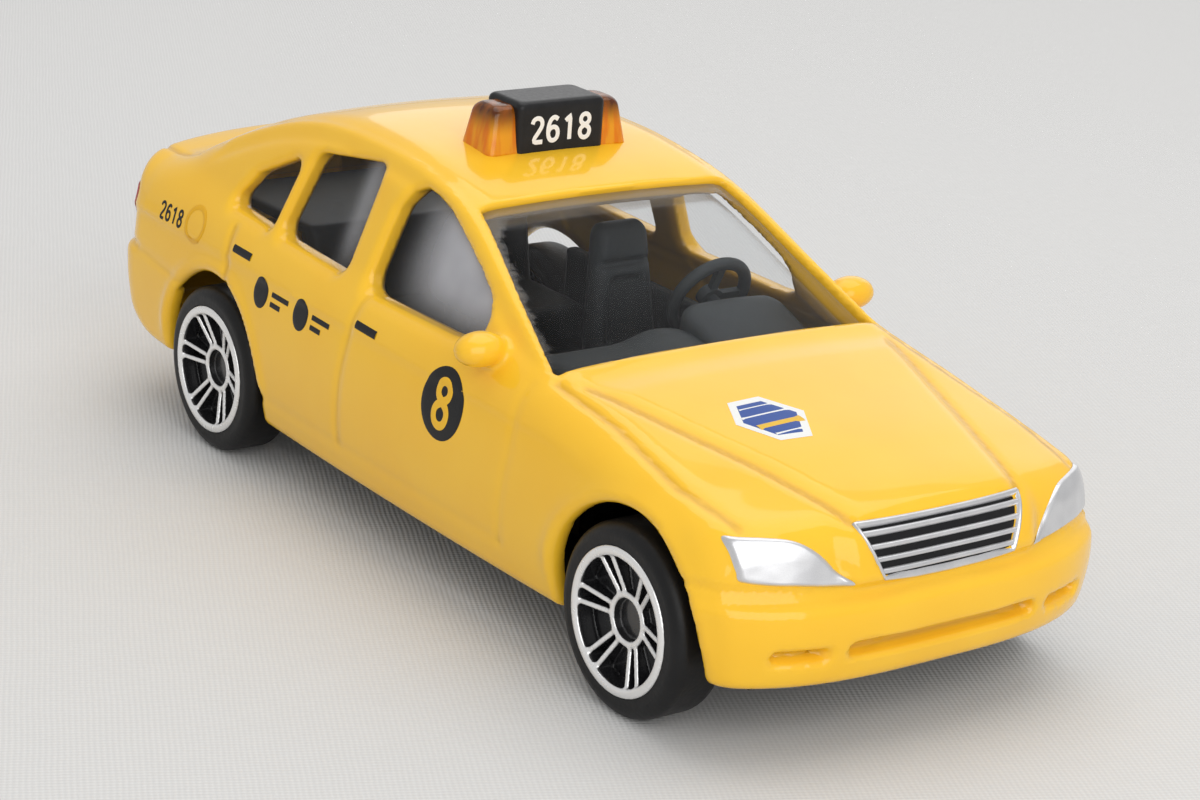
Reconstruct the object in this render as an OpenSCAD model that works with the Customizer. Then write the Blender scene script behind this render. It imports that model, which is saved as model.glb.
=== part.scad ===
// Toy taxi: a three-inch die-cast saloon with a roof sign, on two rolling axles.
// Frame: millimetres, +X to the front, +Y to the car's left, +Z up, ground at Z = 0.

/* [Length of the body] */
// Front end to the foot of the windscreen
hood_len = 20.9; // [18:0.1:24]
// Foot of the windscreen to the front edge of the roof, along X
screen_run = 13.7; // [11:0.1:16]
// Front edge of the roof to the top of the rear window
roof_len = 23.4; // [21:0.1:27]
// Top of the rear window to the trunk lid, along X
backlight_run = 12; // [10:0.1:14]
// Trunk lid to the rear end
deck_len = 6; // [5:0.1:9]

/* [Heights above the ground] */
// Lower edge of the sills
sill_h = 3.8; // [3.2:0.1:4.4]
// Lower edge of the front bumper
front_bumper_h = 4.4; // [3.8:0.1:5]
// Lower edge of the rear bumper
rear_bumper_h = 4.8; // [4:0.1:5.4]
// Widest line of the flank
waist_h = 9.5; // [8.5:0.1:10.5]
// Hood edge above the grille
lip_h = 13.6; // [13:0.1:14.4]
// Hood at the windscreen
cowl_h = 16.9; // [16.4:0.1:17.5]
// Trunk lid
deck_h = 18.6; // [18:0.1:19.4]
// Front edge of the roof
header_h = 23.4; // [22.8:0.1:24]
// Top of the roof
roof_h = 25.1; // [24.6:0.1:26]

/* [Widths of the body] */
// Widest part of the flanks
body_w = 30.6; // [29.6:0.1:32]
// Cabin at the belt line
cabin_w = 27.2; // [26.6:0.1:27.8]
// Lean of the cabin sides, as Y per Z
tumblehome = 0.38; // [0.34:0.01:0.41]
// Drop of the flanks from the waist to the sill
sill_tuck = 0.97; // [0.5:0.01:1.4]
// Narrowing of the flanks at both ends
end_taper = 0.84; // [0.4:0.01:1.2]

/* [Casting] */
// Wall of the casting
wall = 1.2; // [0.9:0.05:1.4]
// Rounding of the shoulder under the windows
shoulder_r = 2; // [1.2:0.1:2.6]
// Rounding of the roof rail
rail_r = 2.2; // [1.2:0.1:2.8]
// Rise of the hood above a straight line
hood_crown = 0.45; // [0.1:0.05:0.9]
// Depth of the round front corners, along X
nose_round = 4.6; // [3.6:0.1:5.6]
// Depth of the round rear corners, along X
tail_round = 3.6; // [2.8:0.1:4.6]
// Wheel arch
arch_r = 6.75; // [6.4:0.05:7.2]
// Diameter of the screw posts
post_d = 2.8; // [2.6:0.1:3.4]

/* [Windows] */
// Width of the windscreen's foot, as a share of the cabin's width
screen_share_foot = 0.89; // [0.82:0.01:0.91]
// Width of the windscreen's top, as a share of the cabin's width
screen_share_top = 0.69; // [0.62:0.01:0.72]
// Half width of the rear window at the trunk
backlight_half_foot = 10; // [8:0.1:10.6]
// Half width of the rear window at the roof
backlight_half_top = 8; // [6.5:0.1:8.8]
// Sheet of the glazing
glass_t = 0.9; // [0.6:0.05:1]
// Depth of the glass below the paint
glass_sink = 0.35; // [0.2:0.05:0.6]
// Gap between the glazing and the casting
glass_gap = 0.08; // [0.05:0.01:0.15]

/* [Running gear] */
// Distance between the axles
wheelbase = 48; // [45:0.1:50]
// Front end to the front axle
front_overhang = 11.2; // [10.6:0.1:12.4]
// Outer diameter of the tyres
tyre_d = 11.5; // [11:0.1:12]
// Width of the tyres
tyre_w = 3.7; // [3.2:0.1:3.9]
// Outer diameter of the rims
rim_d = 8.9; // [8.2:0.1:9.4]
// Width of the rims
rim_w = 4; // [3.9:0.1:4.3]
// Depth of the wheels inside the flanks, both sides together
wheel_tuck = 0.2; // [0:0.05:0.8]
// Diameter of the axle pins
axle_d = 1.2; // [1:0.05:1.6]
// Radial clearance of the axle in its tunnel
axle_clear = 0.06; // [0.02:0.01:0.1]
// Twin spokes on each rim
spoke_pairs = 6; // [5:1:7]

/* [Base] */
// Thickness of the base plate
base_t = 1.2; // [1:0.05:1.4]
// Underside of the base plate above the ground
base_h = 3.4; // [3:0.1:3.8]
// Diameter of the screw heads
head_d = 2.6; // [2.2:0.1:3]
// Diameter of the screw shanks
shank_d = 1.5; // [1.2:0.1:1.8]
// Length of the screw shanks
shank_len = 6; // [4:0.5:8]

/* [Interior] */
// Inner face of a rim to the side of the interior
tub_gap = 0.9; // [0.7:0.1:1.4]
// Floor of the tub above the ground
floor_h = 7.7; // [7.6:0.1:8.4]
// Width of a front seat
seat_w = 5.4; // [4.6:0.1:6]
// Side of the interior to a front seat
seat_gap = 2; // [1.6:0.1:2.6]
// Middle of the steering wheel's rim
steering_r = 2.75; // [2.2:0.05:2.8]

/* [Roof sign] */
// Length of the sign across the roof
sign_len = 11; // [9:0.1:12]
// Depth of the sign along the car
sign_depth = 3.6; // [3:0.1:4.2]
// Height of the amber lens
sign_h = 3.1; // [2.6:0.1:3.6]
// Length of the black cover across the roof
cover_len = 6.8; // [6:0.1:7.8]
// Wall of the black cover
cover_t = 0.3; // [0.2:0.05:0.4]
// Front edge of the roof to the middle of the sign
sign_back = 7.6; // [6.6:0.1:9]

/* [Hidden] */
$fn = 48;

paint = "gold";
clear = [0.75, 0.78, 0.8, 0.5];
dark = "dimgray";
black = [0.08, 0.08, 0.09];
steel = "silver";
amber = "darkorange";

// Stations along X, from the front end to the rear end
body_len = hood_len + screen_run + roof_len + backlight_run + deck_len;
nose = body_len / 2;
foot = nose - hood_len;
header = foot - screen_run;
rear_header = header - roof_len;
deck = rear_header - backlight_run;
tail = -nose;
front_x = nose - front_overhang;
rear_x = front_x - wheelbase;

wheel_h = tyre_d / 2;
// Outer faces of the rims, side to side
track_w = body_w - wheel_tuck;
screen_half_foot = screen_share_foot * cabin_w / 2;
screen_half_top = screen_share_top * cabin_w / 2;
belt_h = 15.8;
lip_set = 1.7;
eps = 0.02;

// Slope at a point of a curve, then the curve itself: a smooth line through hand-set points
function tangent(p, i) =
    let (a = max(i - 1, 0), b = min(i + 1, len(p) - 1))
    (p[b][1] - p[a][1]) / (p[b][0] - p[a][0]);
function span(p, x, i = 0) =
    i >= len(p) - 2 || x < p[i + 1][0] ? i : span(p, x, i + 1);
function inside_curve(p, x) =
    let (
        i = span(p, x),
        h = p[i + 1][0] - p[i][0],
        t = (x - p[i][0]) / h,
        t2 = t * t,
        t3 = t2 * t
    )
    (2 * t3 - 3 * t2 + 1) * p[i][1] + (t3 - 2 * t2 + t) * h * tangent(p, i)
    + (3 * t2 - 2 * t3) * p[i + 1][1] + (t3 - t2) * h * tangent(p, i + 1);
function curve(p, x) =
    let (last = len(p) - 1)
    x < p[0][0] ? p[0][1] + (x - p[0][0]) * tangent(p, 0)
    : x > p[last][0] ? p[last][1] + (x - p[last][0]) * tangent(p, last)
    : inside_curve(p, x);

// Side view: hood, belt and trunk; then windscreen, roof and rear window
deck_line = [
    [tail - 1, deck_h - 1.4], [tail + 0.8, deck_h - 0.3], [deck - 1, deck_h + 0.1],
    [rear_header - 5, deck_h - 0.15], [header - roof_len * 0.87, deck_h - 0.9], [header, cowl_h + 0.2],
    [foot, cowl_h], [foot + hood_len / 2 - lip_set / 2, (cowl_h + lip_h) / 2 + hood_crown],
    [nose - lip_set, lip_h], [nose + 0.4, lip_h - 1.6]
];
cabin_line = [
    [deck - 1.5, deck_h - 2.6], [deck, deck_h - 0.65],
    [(deck + rear_header) / 2, (deck_h + roof_h) / 2 - 0.55], [rear_header, roof_h - 1.35],
    [rear_header + 5, roof_h - 0.25], [rear_header + 11, roof_h], [header - 6.3, roof_h - 0.35],
    [header, header_h], [header + screen_run / 2, (header_h + cowl_h) / 2 + 0.07],
    [foot, cowl_h - 0.05], [foot + 4, cowl_h - 1.95]
];
// Fall of the hood and trunk from the middle to the shoulder, 13 mm out
fall_line = [[tail, 1.1], [tail + 13, 0.9], [header, 0.5], [foot, 0.5], [nose - 7, 1], [nose, 1]];
fall_reach = 13;
// Fall of the roof and both screens, 10 mm out
roof_fall = 0.4;
roof_reach = 10;
// Set-back of the front and rear ends at each height
nose_line = [
    [front_bumper_h - 1.2, 1.8], [front_bumper_h, 0.75], [front_bumper_h + 1.1, 0.3], [7.5, 0], [9.3, 0.15],
    [10.3, 0.55], [lip_h - 0.1, lip_set + 0.05], [lip_h + 1.4, 2.6], [lip_h + 4.4, 5]
];
tail_line = [
    [3.2, 6.2], [4, 4.6], [6, 1.2], [8, 0.3], [10.2, 0], [11.2, 0.15], [11.8, 0.9],
    [14.2, 1], [deck_h - 0.3, 0.9], [deck_h + 1.4, 1.4]
];
// Lower edge of the casting
under_line = [
    [tail, rear_bumper_h], [rear_x - arch_r, rear_bumper_h], [rear_x + arch_r, sill_h],
    [front_x - arch_r, sill_h], [front_x + arch_r, front_bumper_h], [nose, front_bumper_h]
];
// The flank stands straighter beside the trunk
stand_line = [[tail, 0.55], [rear_x - 9, 0.6], [rear_x + 11, 1], [nose, 1]];

function flank(x, z) =
    body_w / 2 - end_taper * pow((x - 2) / nose, 2)
    - sill_tuck * curve(stand_line, x) * pow((z - waist_h) / (waist_h - sill_h), 2);
function cabin_half(x, z) =
    cabin_w / 2 - tumblehome * (z - belt_h) - 0.0005 * pow(max(x - header + 11.4, 0), 2);
// Extra drop near an edge that is rounded with radius r
function edge_drop(y, edge, r) =
    let (u = max(0, min(abs(y), edge) - (edge - r)))
    r - sqrt(max(0, r * r - u * u));
function deck_top(x, y) =
    let (z = curve(deck_line, x))
    z - curve(fall_line, x) * pow(y / fall_reach, 2) - edge_drop(y, flank(x, z - shoulder_r), shoulder_r);
function cabin_top(x, y) =
    let (z = curve(cabin_line, x))
    z - roof_fall * pow(y / roof_reach, 2) - edge_drop(y, cabin_half(x, z - rail_r), rail_r);
// Plan view of a bumper: flat in the middle, round at the corner
function corner_drop(y, half, depth) =
    let (t = min(abs(y) / half, 1))
    depth * (1 - pow(1 - pow(t, 3.2), 1 / 1.35));
function nose_at(y, z) = nose - curve(nose_line, z) - corner_drop(y, body_w / 2, nose_round);
function tail_at(y, z) = tail + curve(tail_line, z) + corner_drop(y, body_w / 2 - 0.3, tail_round);

// Evenly spaced values, and values that crowd towards both ends
function even(a, b, n) = [for (i = [0:n]) a + (b - a) * i / n];
function crowded(half, n) = [for (i = [0:n]) half * sin(-90 + 180 * i / n)];

// Solid between two surfaces over a grid; turn() places grid and height along X, Y and Z
module surface_block(us, vs, low, high, turn) {
    nu = len(us);
    nv = len(vs);
    count = nu * nv;
    top = [for (u = us) for (v = vs) turn(u, v, high(u, v))];
    bottom = [for (u = us) for (v = vs) turn(u, v, low(u, v))];
    function at(i, j) = i * nv + j;
    rim = concat(
        [for (i = [0:nu - 2]) at(i, 0)], [for (j = [0:nv - 2]) at(nu - 1, j)],
        [for (i = [nu - 1:-1:1]) at(i, nv - 1)], [for (j = [nv - 1:-1:1]) at(0, j)]
    );
    skins = [for (i = [0:nu - 2]) for (j = [0:nv - 2]) each [
        [at(i, j), at(i, j + 1), at(i + 1, j + 1)],
        [at(i, j), at(i + 1, j + 1), at(i + 1, j)],
        [count + at(i, j), count + at(i + 1, j + 1), count + at(i, j + 1)],
        [count + at(i, j), count + at(i + 1, j), count + at(i + 1, j + 1)]
    ]];
    walls = [for (k = [0:len(rim) - 1]) let (a = rim[k], b = rim[(k + 1) % len(rim)]) each [
        [a, b, count + b], [a, count + b, count + a]
    ]];
    polyhedron(concat(top, bottom), concat(skins, walls));
}

along_z = function (u, v, f) [u, v, f];
along_y = function (u, v, f) [v, f, u];
along_x = function (u, v, f) [f, u, v];

// Lower body, drawn in by inset; open makes it run on below the sills; steps sets its fineness
module lower_form(inset, open = 0, steps = 32) {
    xs = even(tail - 1, nose + 1, steps);
    ys = crowded(body_w / 2 + 0.2, round(steps / 2));
    zs = even(2, deck_h + 2, 8);
    ends = [2, 3, 4, 4.8, 6, 7.5, 9.3, 10.3, 11.2, 11.8, 13.6, 15.5, 17.5, deck_h + 2];
    intersection() {
        surface_block(zs, xs, function (z, x) inset - flank(x, z), function (z, x) flank(x, z) - inset, along_y);
        surface_block(xs, ys, function (x, y) curve(under_line, x) - open,
            function (x, y) deck_top(x, y) - inset, along_z);
        surface_block(ys, ends, function (y, z) tail_at(y, z) + inset,
            function (y, z) nose_at(y, z) - inset, along_x);
    }
}

// Cabin, drawn in by inset, from the height low upwards
module cabin_form(inset, low, steps = 28) {
    xs = even(deck - 1.5, foot + 4, steps);
    ys = crowded(cabin_w / 2, round(steps / 2));
    zs = even(low - 0.5, roof_h + 0.5, 5);
    slant = sqrt(1 + tumblehome * tumblehome);
    intersection() {
        surface_block(zs, xs, function (z, x) inset * slant - cabin_half(x, z),
            function (z, x) cabin_half(x, z) - inset * slant, along_y);
        surface_block(xs, ys, function (x, y) min(low, cabin_top(x, y) - inset * slant) - 1,
            function (x, y) cabin_top(x, y) - inset * slant, along_z);
        translate([deck - 3, -body_w / 2, low]) cube([foot - deck + 9, body_w, roof_h]);
    }
}

// Window outlines in side view, from the rear upper corner downwards
front_window = [
    [header - 6.8, header_h - 0.7], [header - 7.2, cowl_h - 0.5], [header + 3, cowl_h - 0.4],
    [header + 5.1, cowl_h + 0.7], [header + 4.4, cowl_h + 1.8], [header - 0.7, header_h - 2.2],
    [header - 4, header_h - 1]
];
rear_window = [
    [header - 17.5, header_h - 1.4], [header - 18.4, cowl_h + 0.1], [header - 10.6, cowl_h - 0.1],
    [header - 10.4, header_h - 0.5]
];
quarter_window = [
    [header - 19.7, header_h - 2.3], [header - 20.4, cowl_h + 0.1], [header - 24.9, cowl_h + 0.4],
    [header - 23.4, cowl_h + 2.4]
];
screen_outline = [
    [screen_half_top, header_h - 0.2], [screen_half_foot, cowl_h + 0.15],
    [-screen_half_foot, cowl_h + 0.15], [-screen_half_top, header_h - 0.2]
];
backlight_outline = [
    [backlight_half_top, roof_h - 1.9], [backlight_half_foot, deck_h + 0.5],
    [-backlight_half_foot, deck_h + 0.5], [-backlight_half_top, roof_h - 1.9]
];
window_corner_r = 0.5;

module rounded_outline(points, fit) {
    hull() for (p = points) translate(p) circle(window_corner_r - fit, $fn = 20);
}

// All window openings, made smaller by fit
module window_openings(fit) {
    window_depth = 6.6;
    reach = max(body_w, cabin_w) / 2;
    for (outline = [front_window, rear_window, quarter_window]) for (side = [0, 1])
        mirror([0, side, 0]) translate([0, reach, 0]) rotate([90, 0, 0])
            linear_extrude(reach - cabin_w / 2 + window_depth) rounded_outline(outline, fit);
    translate([header - 2 + fit, 0, 0]) rotate([90, 0, 90])
        linear_extrude(hood_len) rounded_outline(screen_outline, fit);
    translate([deck - 2, 0, 0]) rotate([90, 0, 90])
        linear_extrude(backlight_run + 4 - fit) rounded_outline(backlight_outline, fit);
}

// Grille outline seen from the front, and the bars across it
grille_half_top = 6.14;
grille_half_foot = 4.8;
grille_low = 10.3;
bar_h = 0.32;
module grille_outline(grow) {
    offset(delta = grow) polygon([
        [grille_half_top, lip_h - 0.2], [grille_half_foot, grille_low + 0.3], [0, grille_low],
        [-grille_half_foot, grille_low + 0.3], [-grille_half_top, lip_h - 0.2]
    ]);
}
module seen_from_front(depth) {
    translate([nose - depth, 0, 0]) rotate([90, 0, 90]) linear_extrude(depth + 2) children();
}
module grille_gaps() {
    seen_from_front(6) difference() {
        grille_outline(-0.25);
        for (i = [1:4]) translate([0, grille_low + i * (lip_h - grille_low) / 5])
            square([2 * grille_half_top, bar_h], center = true);
    }
}
// Headlamp outline seen from the front: y, height and radius of each rounded corner
lamp_corners = [[7.2, 10.7, 0.3], [9.6, 12.2, 0.7], [13.6, 12.6, 0.8], [12.8, 11.1, 0.6]];
module lamp_outline() {
    for (side = [0, 1]) mirror([side, 0])
        hull() for (c = lamp_corners) translate([c[0], c[1]]) circle(c[2], $fn = 20);
}
// Lamps end ahead of the wheel arches
lamp_reach = 7.6;
slot_h = 6.7;
slot_half = 6.6;
slot_r = 0.42;
fog_ends = [9.3, 11];
fog_r = 0.38;
module bumper_slots() {
    seen_from_front(6) {
        hull() for (y = [-slot_half, slot_half]) translate([y, slot_h]) circle(slot_r, $fn = 20);
        for (side = [-1, 1])
            hull() for (y = fog_ends) translate([side * y, slot_h]) circle(fog_r, $fn = 20);
    }
}

// Door mirror: a rounded head on a foot that grows out of the cabin's side
mirror_back = 6.2;
mirror_rise = 0.1;
mirror_head = 1.4;
mirror_foot = 1.3;
mirror_r = 1.05;
mirror_foot_r = 0.8;
module door_mirror() {
    stem = cabin_w / 2 + mirror_rise;
    translate([foot - mirror_back, stem, cowl_h + mirror_rise]) {
        hull() {
            translate([-0.2, mirror_head, 0]) sphere(mirror_r, $fn = 24);
            translate([0.1, 0, 0]) sphere(mirror_r + 0.05, $fn = 24);
        }
        hull() {
            sphere(mirror_foot_r, $fn = 20);
            translate([mirror_foot / 2, -mirror_foot, -mirror_foot_r]) sphere(mirror_foot_r, $fn = 20);
        }
    }
}

// Screw posts stand on the base plate and end in the wall of the hood and the trunk
post_front = nose - 6.5;
post_rear = tail + 5.4;
base_top = base_h + base_t;
module screw_posts() {
    for (x = [post_front, post_rear]) difference() {
        translate([x, 0, base_top + eps])
            cylinder(h = deck_top(x, 0) - wall / 2 - base_top, d = post_d, $fn = 32);
        translate([x, 0, base_top - 1]) cylinder(h = shank_len + 1, d = shank_d + 0.1, $fn = 32);
    }
}

// Flat seat for the sign on the roof
sign_x = header - sign_back;
seat_h = cabin_top(sign_x + sign_depth / 2, sign_len / 2) - 0.03;
peg_y = 2.4;
peg_d = 1.2;
peg_len = wall - 0.3;
peg_clear = 0.05;
module sign_seat() {
    translate([sign_x - sign_depth / 2 - cover_t - 0.05, -sign_len / 2 - 0.05, seat_h])
        cube([sign_depth + 2 * cover_t + 0.1, sign_len + 0.1, 3]);
    for (y = [-peg_y, peg_y]) translate([sign_x, y, seat_h - wall])
        cylinder(h = 2 * wall, d = peg_d + 2 * peg_clear, $fn = 32);
}

module body_shell() {
    arch_depth = body_w / 2 - 10.5;
    color(paint) difference() {
        union() {
            difference() {
                union() {
                    lower_form(0);
                    cabin_form(0, cowl_h - 2.4);
                    for (side = [0, 1]) mirror([0, side, 0]) door_mirror();
                    intersection() {
                        lower_form(-0.18);
                        seen_from_front(lamp_reach) lamp_outline();
                    }
                }
                lower_form(wall, open = 4, steps = 22);
                cabin_form(wall, cowl_h - 6, steps = 22);
            }
            screw_posts();
        }
        window_openings(0);
        difference() {
            union() {
                grille_gaps();
                bumper_slots();
            }
            lower_form(0.45);
        }
        for (x = [front_x, rear_x]) for (side = [0, 1]) mirror([0, side, 0])
            translate([x, body_w / 2 + 2, wheel_h]) rotate([90, 0, 0])
                cylinder(h = arch_depth + 2, r = arch_r, $fn = 56);
        sign_seat();
    }
}

// One clear moulding behind all openings, with a raised pane in each
module window_glazing() {
    skirt_drop = 1.5;
    skirt_h = cowl_h - skirt_drop;
    color(clear) difference() {
        union() {
            cabin_form(wall + glass_gap, skirt_h, steps = 22);
            intersection() {
                cabin_form(glass_sink, skirt_h);
                window_openings(glass_gap);
            }
        }
        cabin_form(wall + glass_gap + glass_t, skirt_h - 2, steps = 22);
        translate([post_rear, 0, 0]) cylinder(h = roof_h, d = post_d + 0.4, $fn = 32);
    }
}

// Interior, extruded from side views; it keeps within the rims and within the cabin
tub_w = track_w - 2 * rim_w - 2 * tub_gap;
tub_t = 1;
floor_t = 0.8;
glass_room = 3.3;
room_half = min(tub_w / 2, cabin_w / 2 - glass_room);
seat_y = room_half - seat_gap - seat_w / 2;
module across(width, y = 0) {
    translate([0, y + width / 2, 0]) rotate([90, 0, 0]) linear_extrude(width) children();
}
// Points of a side view, as shares of a length and a height from its lower rear corner
module side_view(rear, low, length, height, shares) {
    polygon([for (s = shares) [rear + s[0] * length, low + s[1] * height]]);
}
function screen_h(x) = cowl_h + (header_h - cowl_h) * (foot - x) / screen_run;
dash_rise = 0.1;
dash_drop = 4.2;
dash_reach = 4.6;
dash_gap = 1.7;
dash_trim = 0.7;
dash_face = header + dash_reach;
dash_top = min(cowl_h + dash_rise, screen_h(dash_face) - dash_drop);
dash_front = foot - dash_gap;
dash_view = [[0.11, 0], [1, 0], [1, 0.72], [0.84, 0.81], [0.27, 1], [0.05, 0.98], [0, 0.87], [0.03, 0.67]];
seat_back = 6.8;
seat_len = 7.2;
head_room = 3.7;
roof_clear = 1.7;
rest_share = 1.2;
seat_rise = (min(header_h, roof_h - roof_clear) - head_room - floor_h) / rest_share;
rest_w = seat_w - 2;
seat_view = [[0, 0], [0.94, 0], [1, 0.32], [0.89, 0.38], [0.39, 0.32], [0.22, 0.96], [0.11, 1], [0, 0.96]];
rest_view = [[0.01, 0.9], [0.24, 0.9], [0.21, 1.16], [0.15, rest_share], [0.04, rest_share]];
bench_back = 5.6;
bench_len = 15.2;
bench_trim = 1.2;
shelf_drop = 0.7;
tub_rear = rear_header - bench_back;
shelf_h = cowl_h - shelf_drop;
bench_view = [[0, 0.92], [0.46, 0.92], [0.46, 0], [0.99, 0], [1, 0.36], [0.67, 0.31], [0.58, 1], [0, 1]];

column_tilt = 115;
column_d = 0.9;
column_len = 5;
column_clear = 0.1;
wheel_reach = 2.2;
cowl_drop = 0.75;
wheel_drop = 6.2;
wheel_shift = 1.35;
module at_steering_wheel() {
    x = header + wheel_reach;
    z = min(cowl_h - cowl_drop, screen_h(x) - wheel_drop);
    translate([x, seat_y + wheel_shift, z]) rotate([0, column_tilt, 0]) children();
}

module interior_tub() {
    arch_gap = 0.6;
    wall_drop = 3;
    skirt_rear = rear_x + arch_r + arch_gap;
    skirt_front = front_x - arch_r - arch_gap;
    color(dark) difference() {
        union() {
            translate([tub_rear, -tub_w / 2, floor_h - floor_t]) cube([dash_front - tub_rear, tub_w, floor_t]);
            for (side = [-1, 1]) translate([skirt_rear, side * (tub_w - tub_t) / 2 - tub_t / 2, base_top + eps])
                cube([skirt_front - skirt_rear, tub_t, dash_top - wall_drop - base_top]);
            across(2 * (room_half - dash_trim))
                side_view(dash_face, floor_h, dash_front - dash_face, dash_top - floor_h, dash_view);
            across(2 * (room_half - bench_trim))
                side_view(tub_rear, floor_h, bench_len, shelf_h - floor_h, bench_view);
            for (side = [-1, 1]) {
                across(seat_w, side * seat_y) side_view(header - seat_back, floor_h, seat_len, seat_rise, seat_view);
                across(rest_w, side * seat_y) side_view(header - seat_back, floor_h, seat_len, seat_rise, rest_view);
            }
        }
        at_steering_wheel() cylinder(h = column_len + 3 * column_clear, d = column_d + column_clear);
    }
}

module steering_wheel() {
    tube_r = 0.42;
    boss_d = 1.6;
    boss_h = 0.7;
    arm_w = 0.56;
    arm_t = 0.4;
    color(dark) at_steering_wheel() {
        rotate_extrude() translate([steering_r, 0]) circle(tube_r, $fn = 24);
        translate([0, 0, -boss_h / 2]) cylinder(h = boss_h, d = boss_d);
        for (a = [0, 90, 180]) rotate([0, 0, a]) translate([0, -arm_w / 2, -arm_t / 2])
            cube([steering_r, arm_w, arm_t]);
        cylinder(h = column_len, d = column_d);
    }
}

module base_plate() {
    spine_side = 0.2;
    spine_half = tub_w / 2 + spine_side;
    wing_half = body_w / 2 - sill_tuck - wall - 0.9;
    spine_rear = tail + 3.6;
    spine_front = nose - 4.5;
    wing_rear = rear_x + arch_r + 0.4;
    wing_front = front_x - arch_r - 0.4;
    tunnel_half = 1.7;
    tunnel_top = wheel_h + axle_d / 2 + 0.5;
    head_room = 0.8;
    color(black) difference() {
        union() {
            translate([spine_rear, -spine_half, base_h]) cube([spine_front - spine_rear, 2 * spine_half, base_t]);
            translate([wing_rear, -wing_half, base_h]) cube([wing_front - wing_rear, 2 * wing_half, base_t]);
            for (x = [front_x, rear_x]) translate([x - tunnel_half, -spine_half, base_h])
                cube([2 * tunnel_half, 2 * spine_half, tunnel_top - base_h]);
        }
        for (x = [front_x, rear_x]) translate([x, spine_half + 1, wheel_h]) rotate([90, 0, 0])
            cylinder(h = 2 * spine_half + 2, r = axle_d / 2 + axle_clear);
        for (x = [post_front, post_rear]) translate([x, 0, base_h - 1]) {
            cylinder(h = base_t + 2, d = shank_d + 0.2);
            cylinder(h = 1 + head_room, d = head_d + 0.2);
        }
        // Long shallow pockets along the underside
        for (y = [-6.5, 0, 6.5]) translate([wing_rear + 2, y - 0.8, base_h - 1])
            cube([wing_front - wing_rear - 4, 1.6, 1.3]);
    }
}

// Screw with a flat head in its counterbore and a cross recess
module base_screw(x) {
    head_h = 0.7;
    seat = base_h + 0.8;
    color(steel) translate([x, 0, seat]) difference() {
        union() {
            translate([0, 0, -head_h]) cylinder(h = head_h, d = head_d);
            translate([0, 0, -eps]) cylinder(h = shank_len - 0.6, d = shank_d);
        }
        for (a = [0, 90]) rotate([0, 0, a]) translate([-0.9, -0.17, -head_h - 0.1]) cube([1.8, 0.34, 0.5]);
    }
}

// Wheels: the local axis runs from the inner face outwards
hub_r = 1.6;
hub_hole_r = 1.25;
bond_gap = 0.01;
axle_seat = 2;
module axle(x) {
    length = track_w - 2 * rim_w + 2 * axle_seat;
    color(steel) translate([x, length / 2, wheel_h]) rotate([90, 0, 0]) cylinder(h = length, d = axle_d);
}
module at_wheel(x, side) {
    translate([x, side * (track_w / 2 - rim_w), wheel_h]) rotate([-90 * side, 0, 0]) children();
}
module rim(x, side) {
    barrel_t = 0.44;
    web = 1.5;
    web_t = 1;
    spoke_w = 0.32;
    spoke_gap = 0.74;
    spoke_h = rim_w - 0.1;
    rim_r = rim_d / 2;
    color(black) at_wheel(x, side) difference() {
        union() {
            translate([0, 0, 0.2]) difference() {
                cylinder(h = rim_w - 0.2, r = rim_r);
                translate([0, 0, -1]) cylinder(h = rim_w + 2, r = rim_r - barrel_t);
            }
            translate([0, 0, web]) cylinder(h = web_t, r = rim_r - barrel_t / 2);
            cylinder(h = spoke_h, r = hub_r);
            for (i = [0:spoke_pairs - 1]) rotate([0, 0, 360 * i / spoke_pairs + 12])
                for (k = [-1, 1]) translate([hub_r - 0.2, k * spoke_gap / 2 - spoke_w / 2, web])
                    cube([rim_r - barrel_t / 2 - hub_r + 0.2, spoke_w, spoke_h - web]);
        }
        translate([0, 0, -1]) cylinder(h = rim_w, r = axle_d / 2 + bond_gap);
        translate([0, 0, axle_seat + 0.1]) cylinder(h = rim_w, r = hub_hole_r);
    }
}
module tyre(x, side) {
    shoulder = 0.8;
    outer_r = tyre_d / 2;
    seat_r = rim_d / 2 + bond_gap;
    color(black) at_wheel(x, side) rotate_extrude() difference() {
        translate([seat_r, 0]) square([outer_r - seat_r, tyre_w]);
        for (end = [0, 1]) translate([outer_r - shoulder, end == 0 ? shoulder : tyre_w - shoulder])
            difference() {
                translate([0, end == 0 ? -shoulder : 0]) square(shoulder);
                circle(shoulder);
            }
    }
}

// Roof sign: an amber block with slanted ends and faces under a black saddle
sign_bevel = 0.28;
function sign_outline(half, lean, height) =
    let (shoulder = half - lean * (1 - sign_bevel / height), top = half - lean - sign_bevel) [
        [-half, 0], [half, 0], [shoulder, height - sign_bevel], [top, height], [-top, height],
        [-shoulder, height - sign_bevel]
    ];
module sign_block(length, depth, height, lean, slant) {
    intersection() {
        rotate([90, 0, 90]) translate([0, 0, -depth])
            linear_extrude(2 * depth) polygon(sign_outline(length / 2, lean, height));
        rotate([90, 0, 0]) translate([0, 0, -length])
            linear_extrude(2 * length) polygon(sign_outline(depth / 2, slant, height));
    }
}
end_lean = 0.55;
face_slant = 0.45;
module roof_sign_lens() {
    saddle_gap = 0.02;
    color(amber) translate([sign_x, 0, seat_h + eps]) difference() {
        union() {
            sign_block(sign_len, sign_depth, sign_h, end_lean, face_slant);
            for (y = [-peg_y, peg_y]) translate([0, y, -peg_len]) cylinder(h = peg_len + 0.1, d = peg_d);
        }
        // Step for the saddle, as deep as its wall
        translate([-sign_depth, -cover_len / 2 - saddle_gap, 0]) difference() {
            cube([2 * sign_depth, cover_len + 2 * saddle_gap, sign_h + 1]);
            translate([sign_depth / 2 + face_slant, -1, -1])
                cube([sign_depth - 2 * face_slant, cover_len + 4, sign_h + 1 - cover_t]);
        }
    }
}
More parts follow.
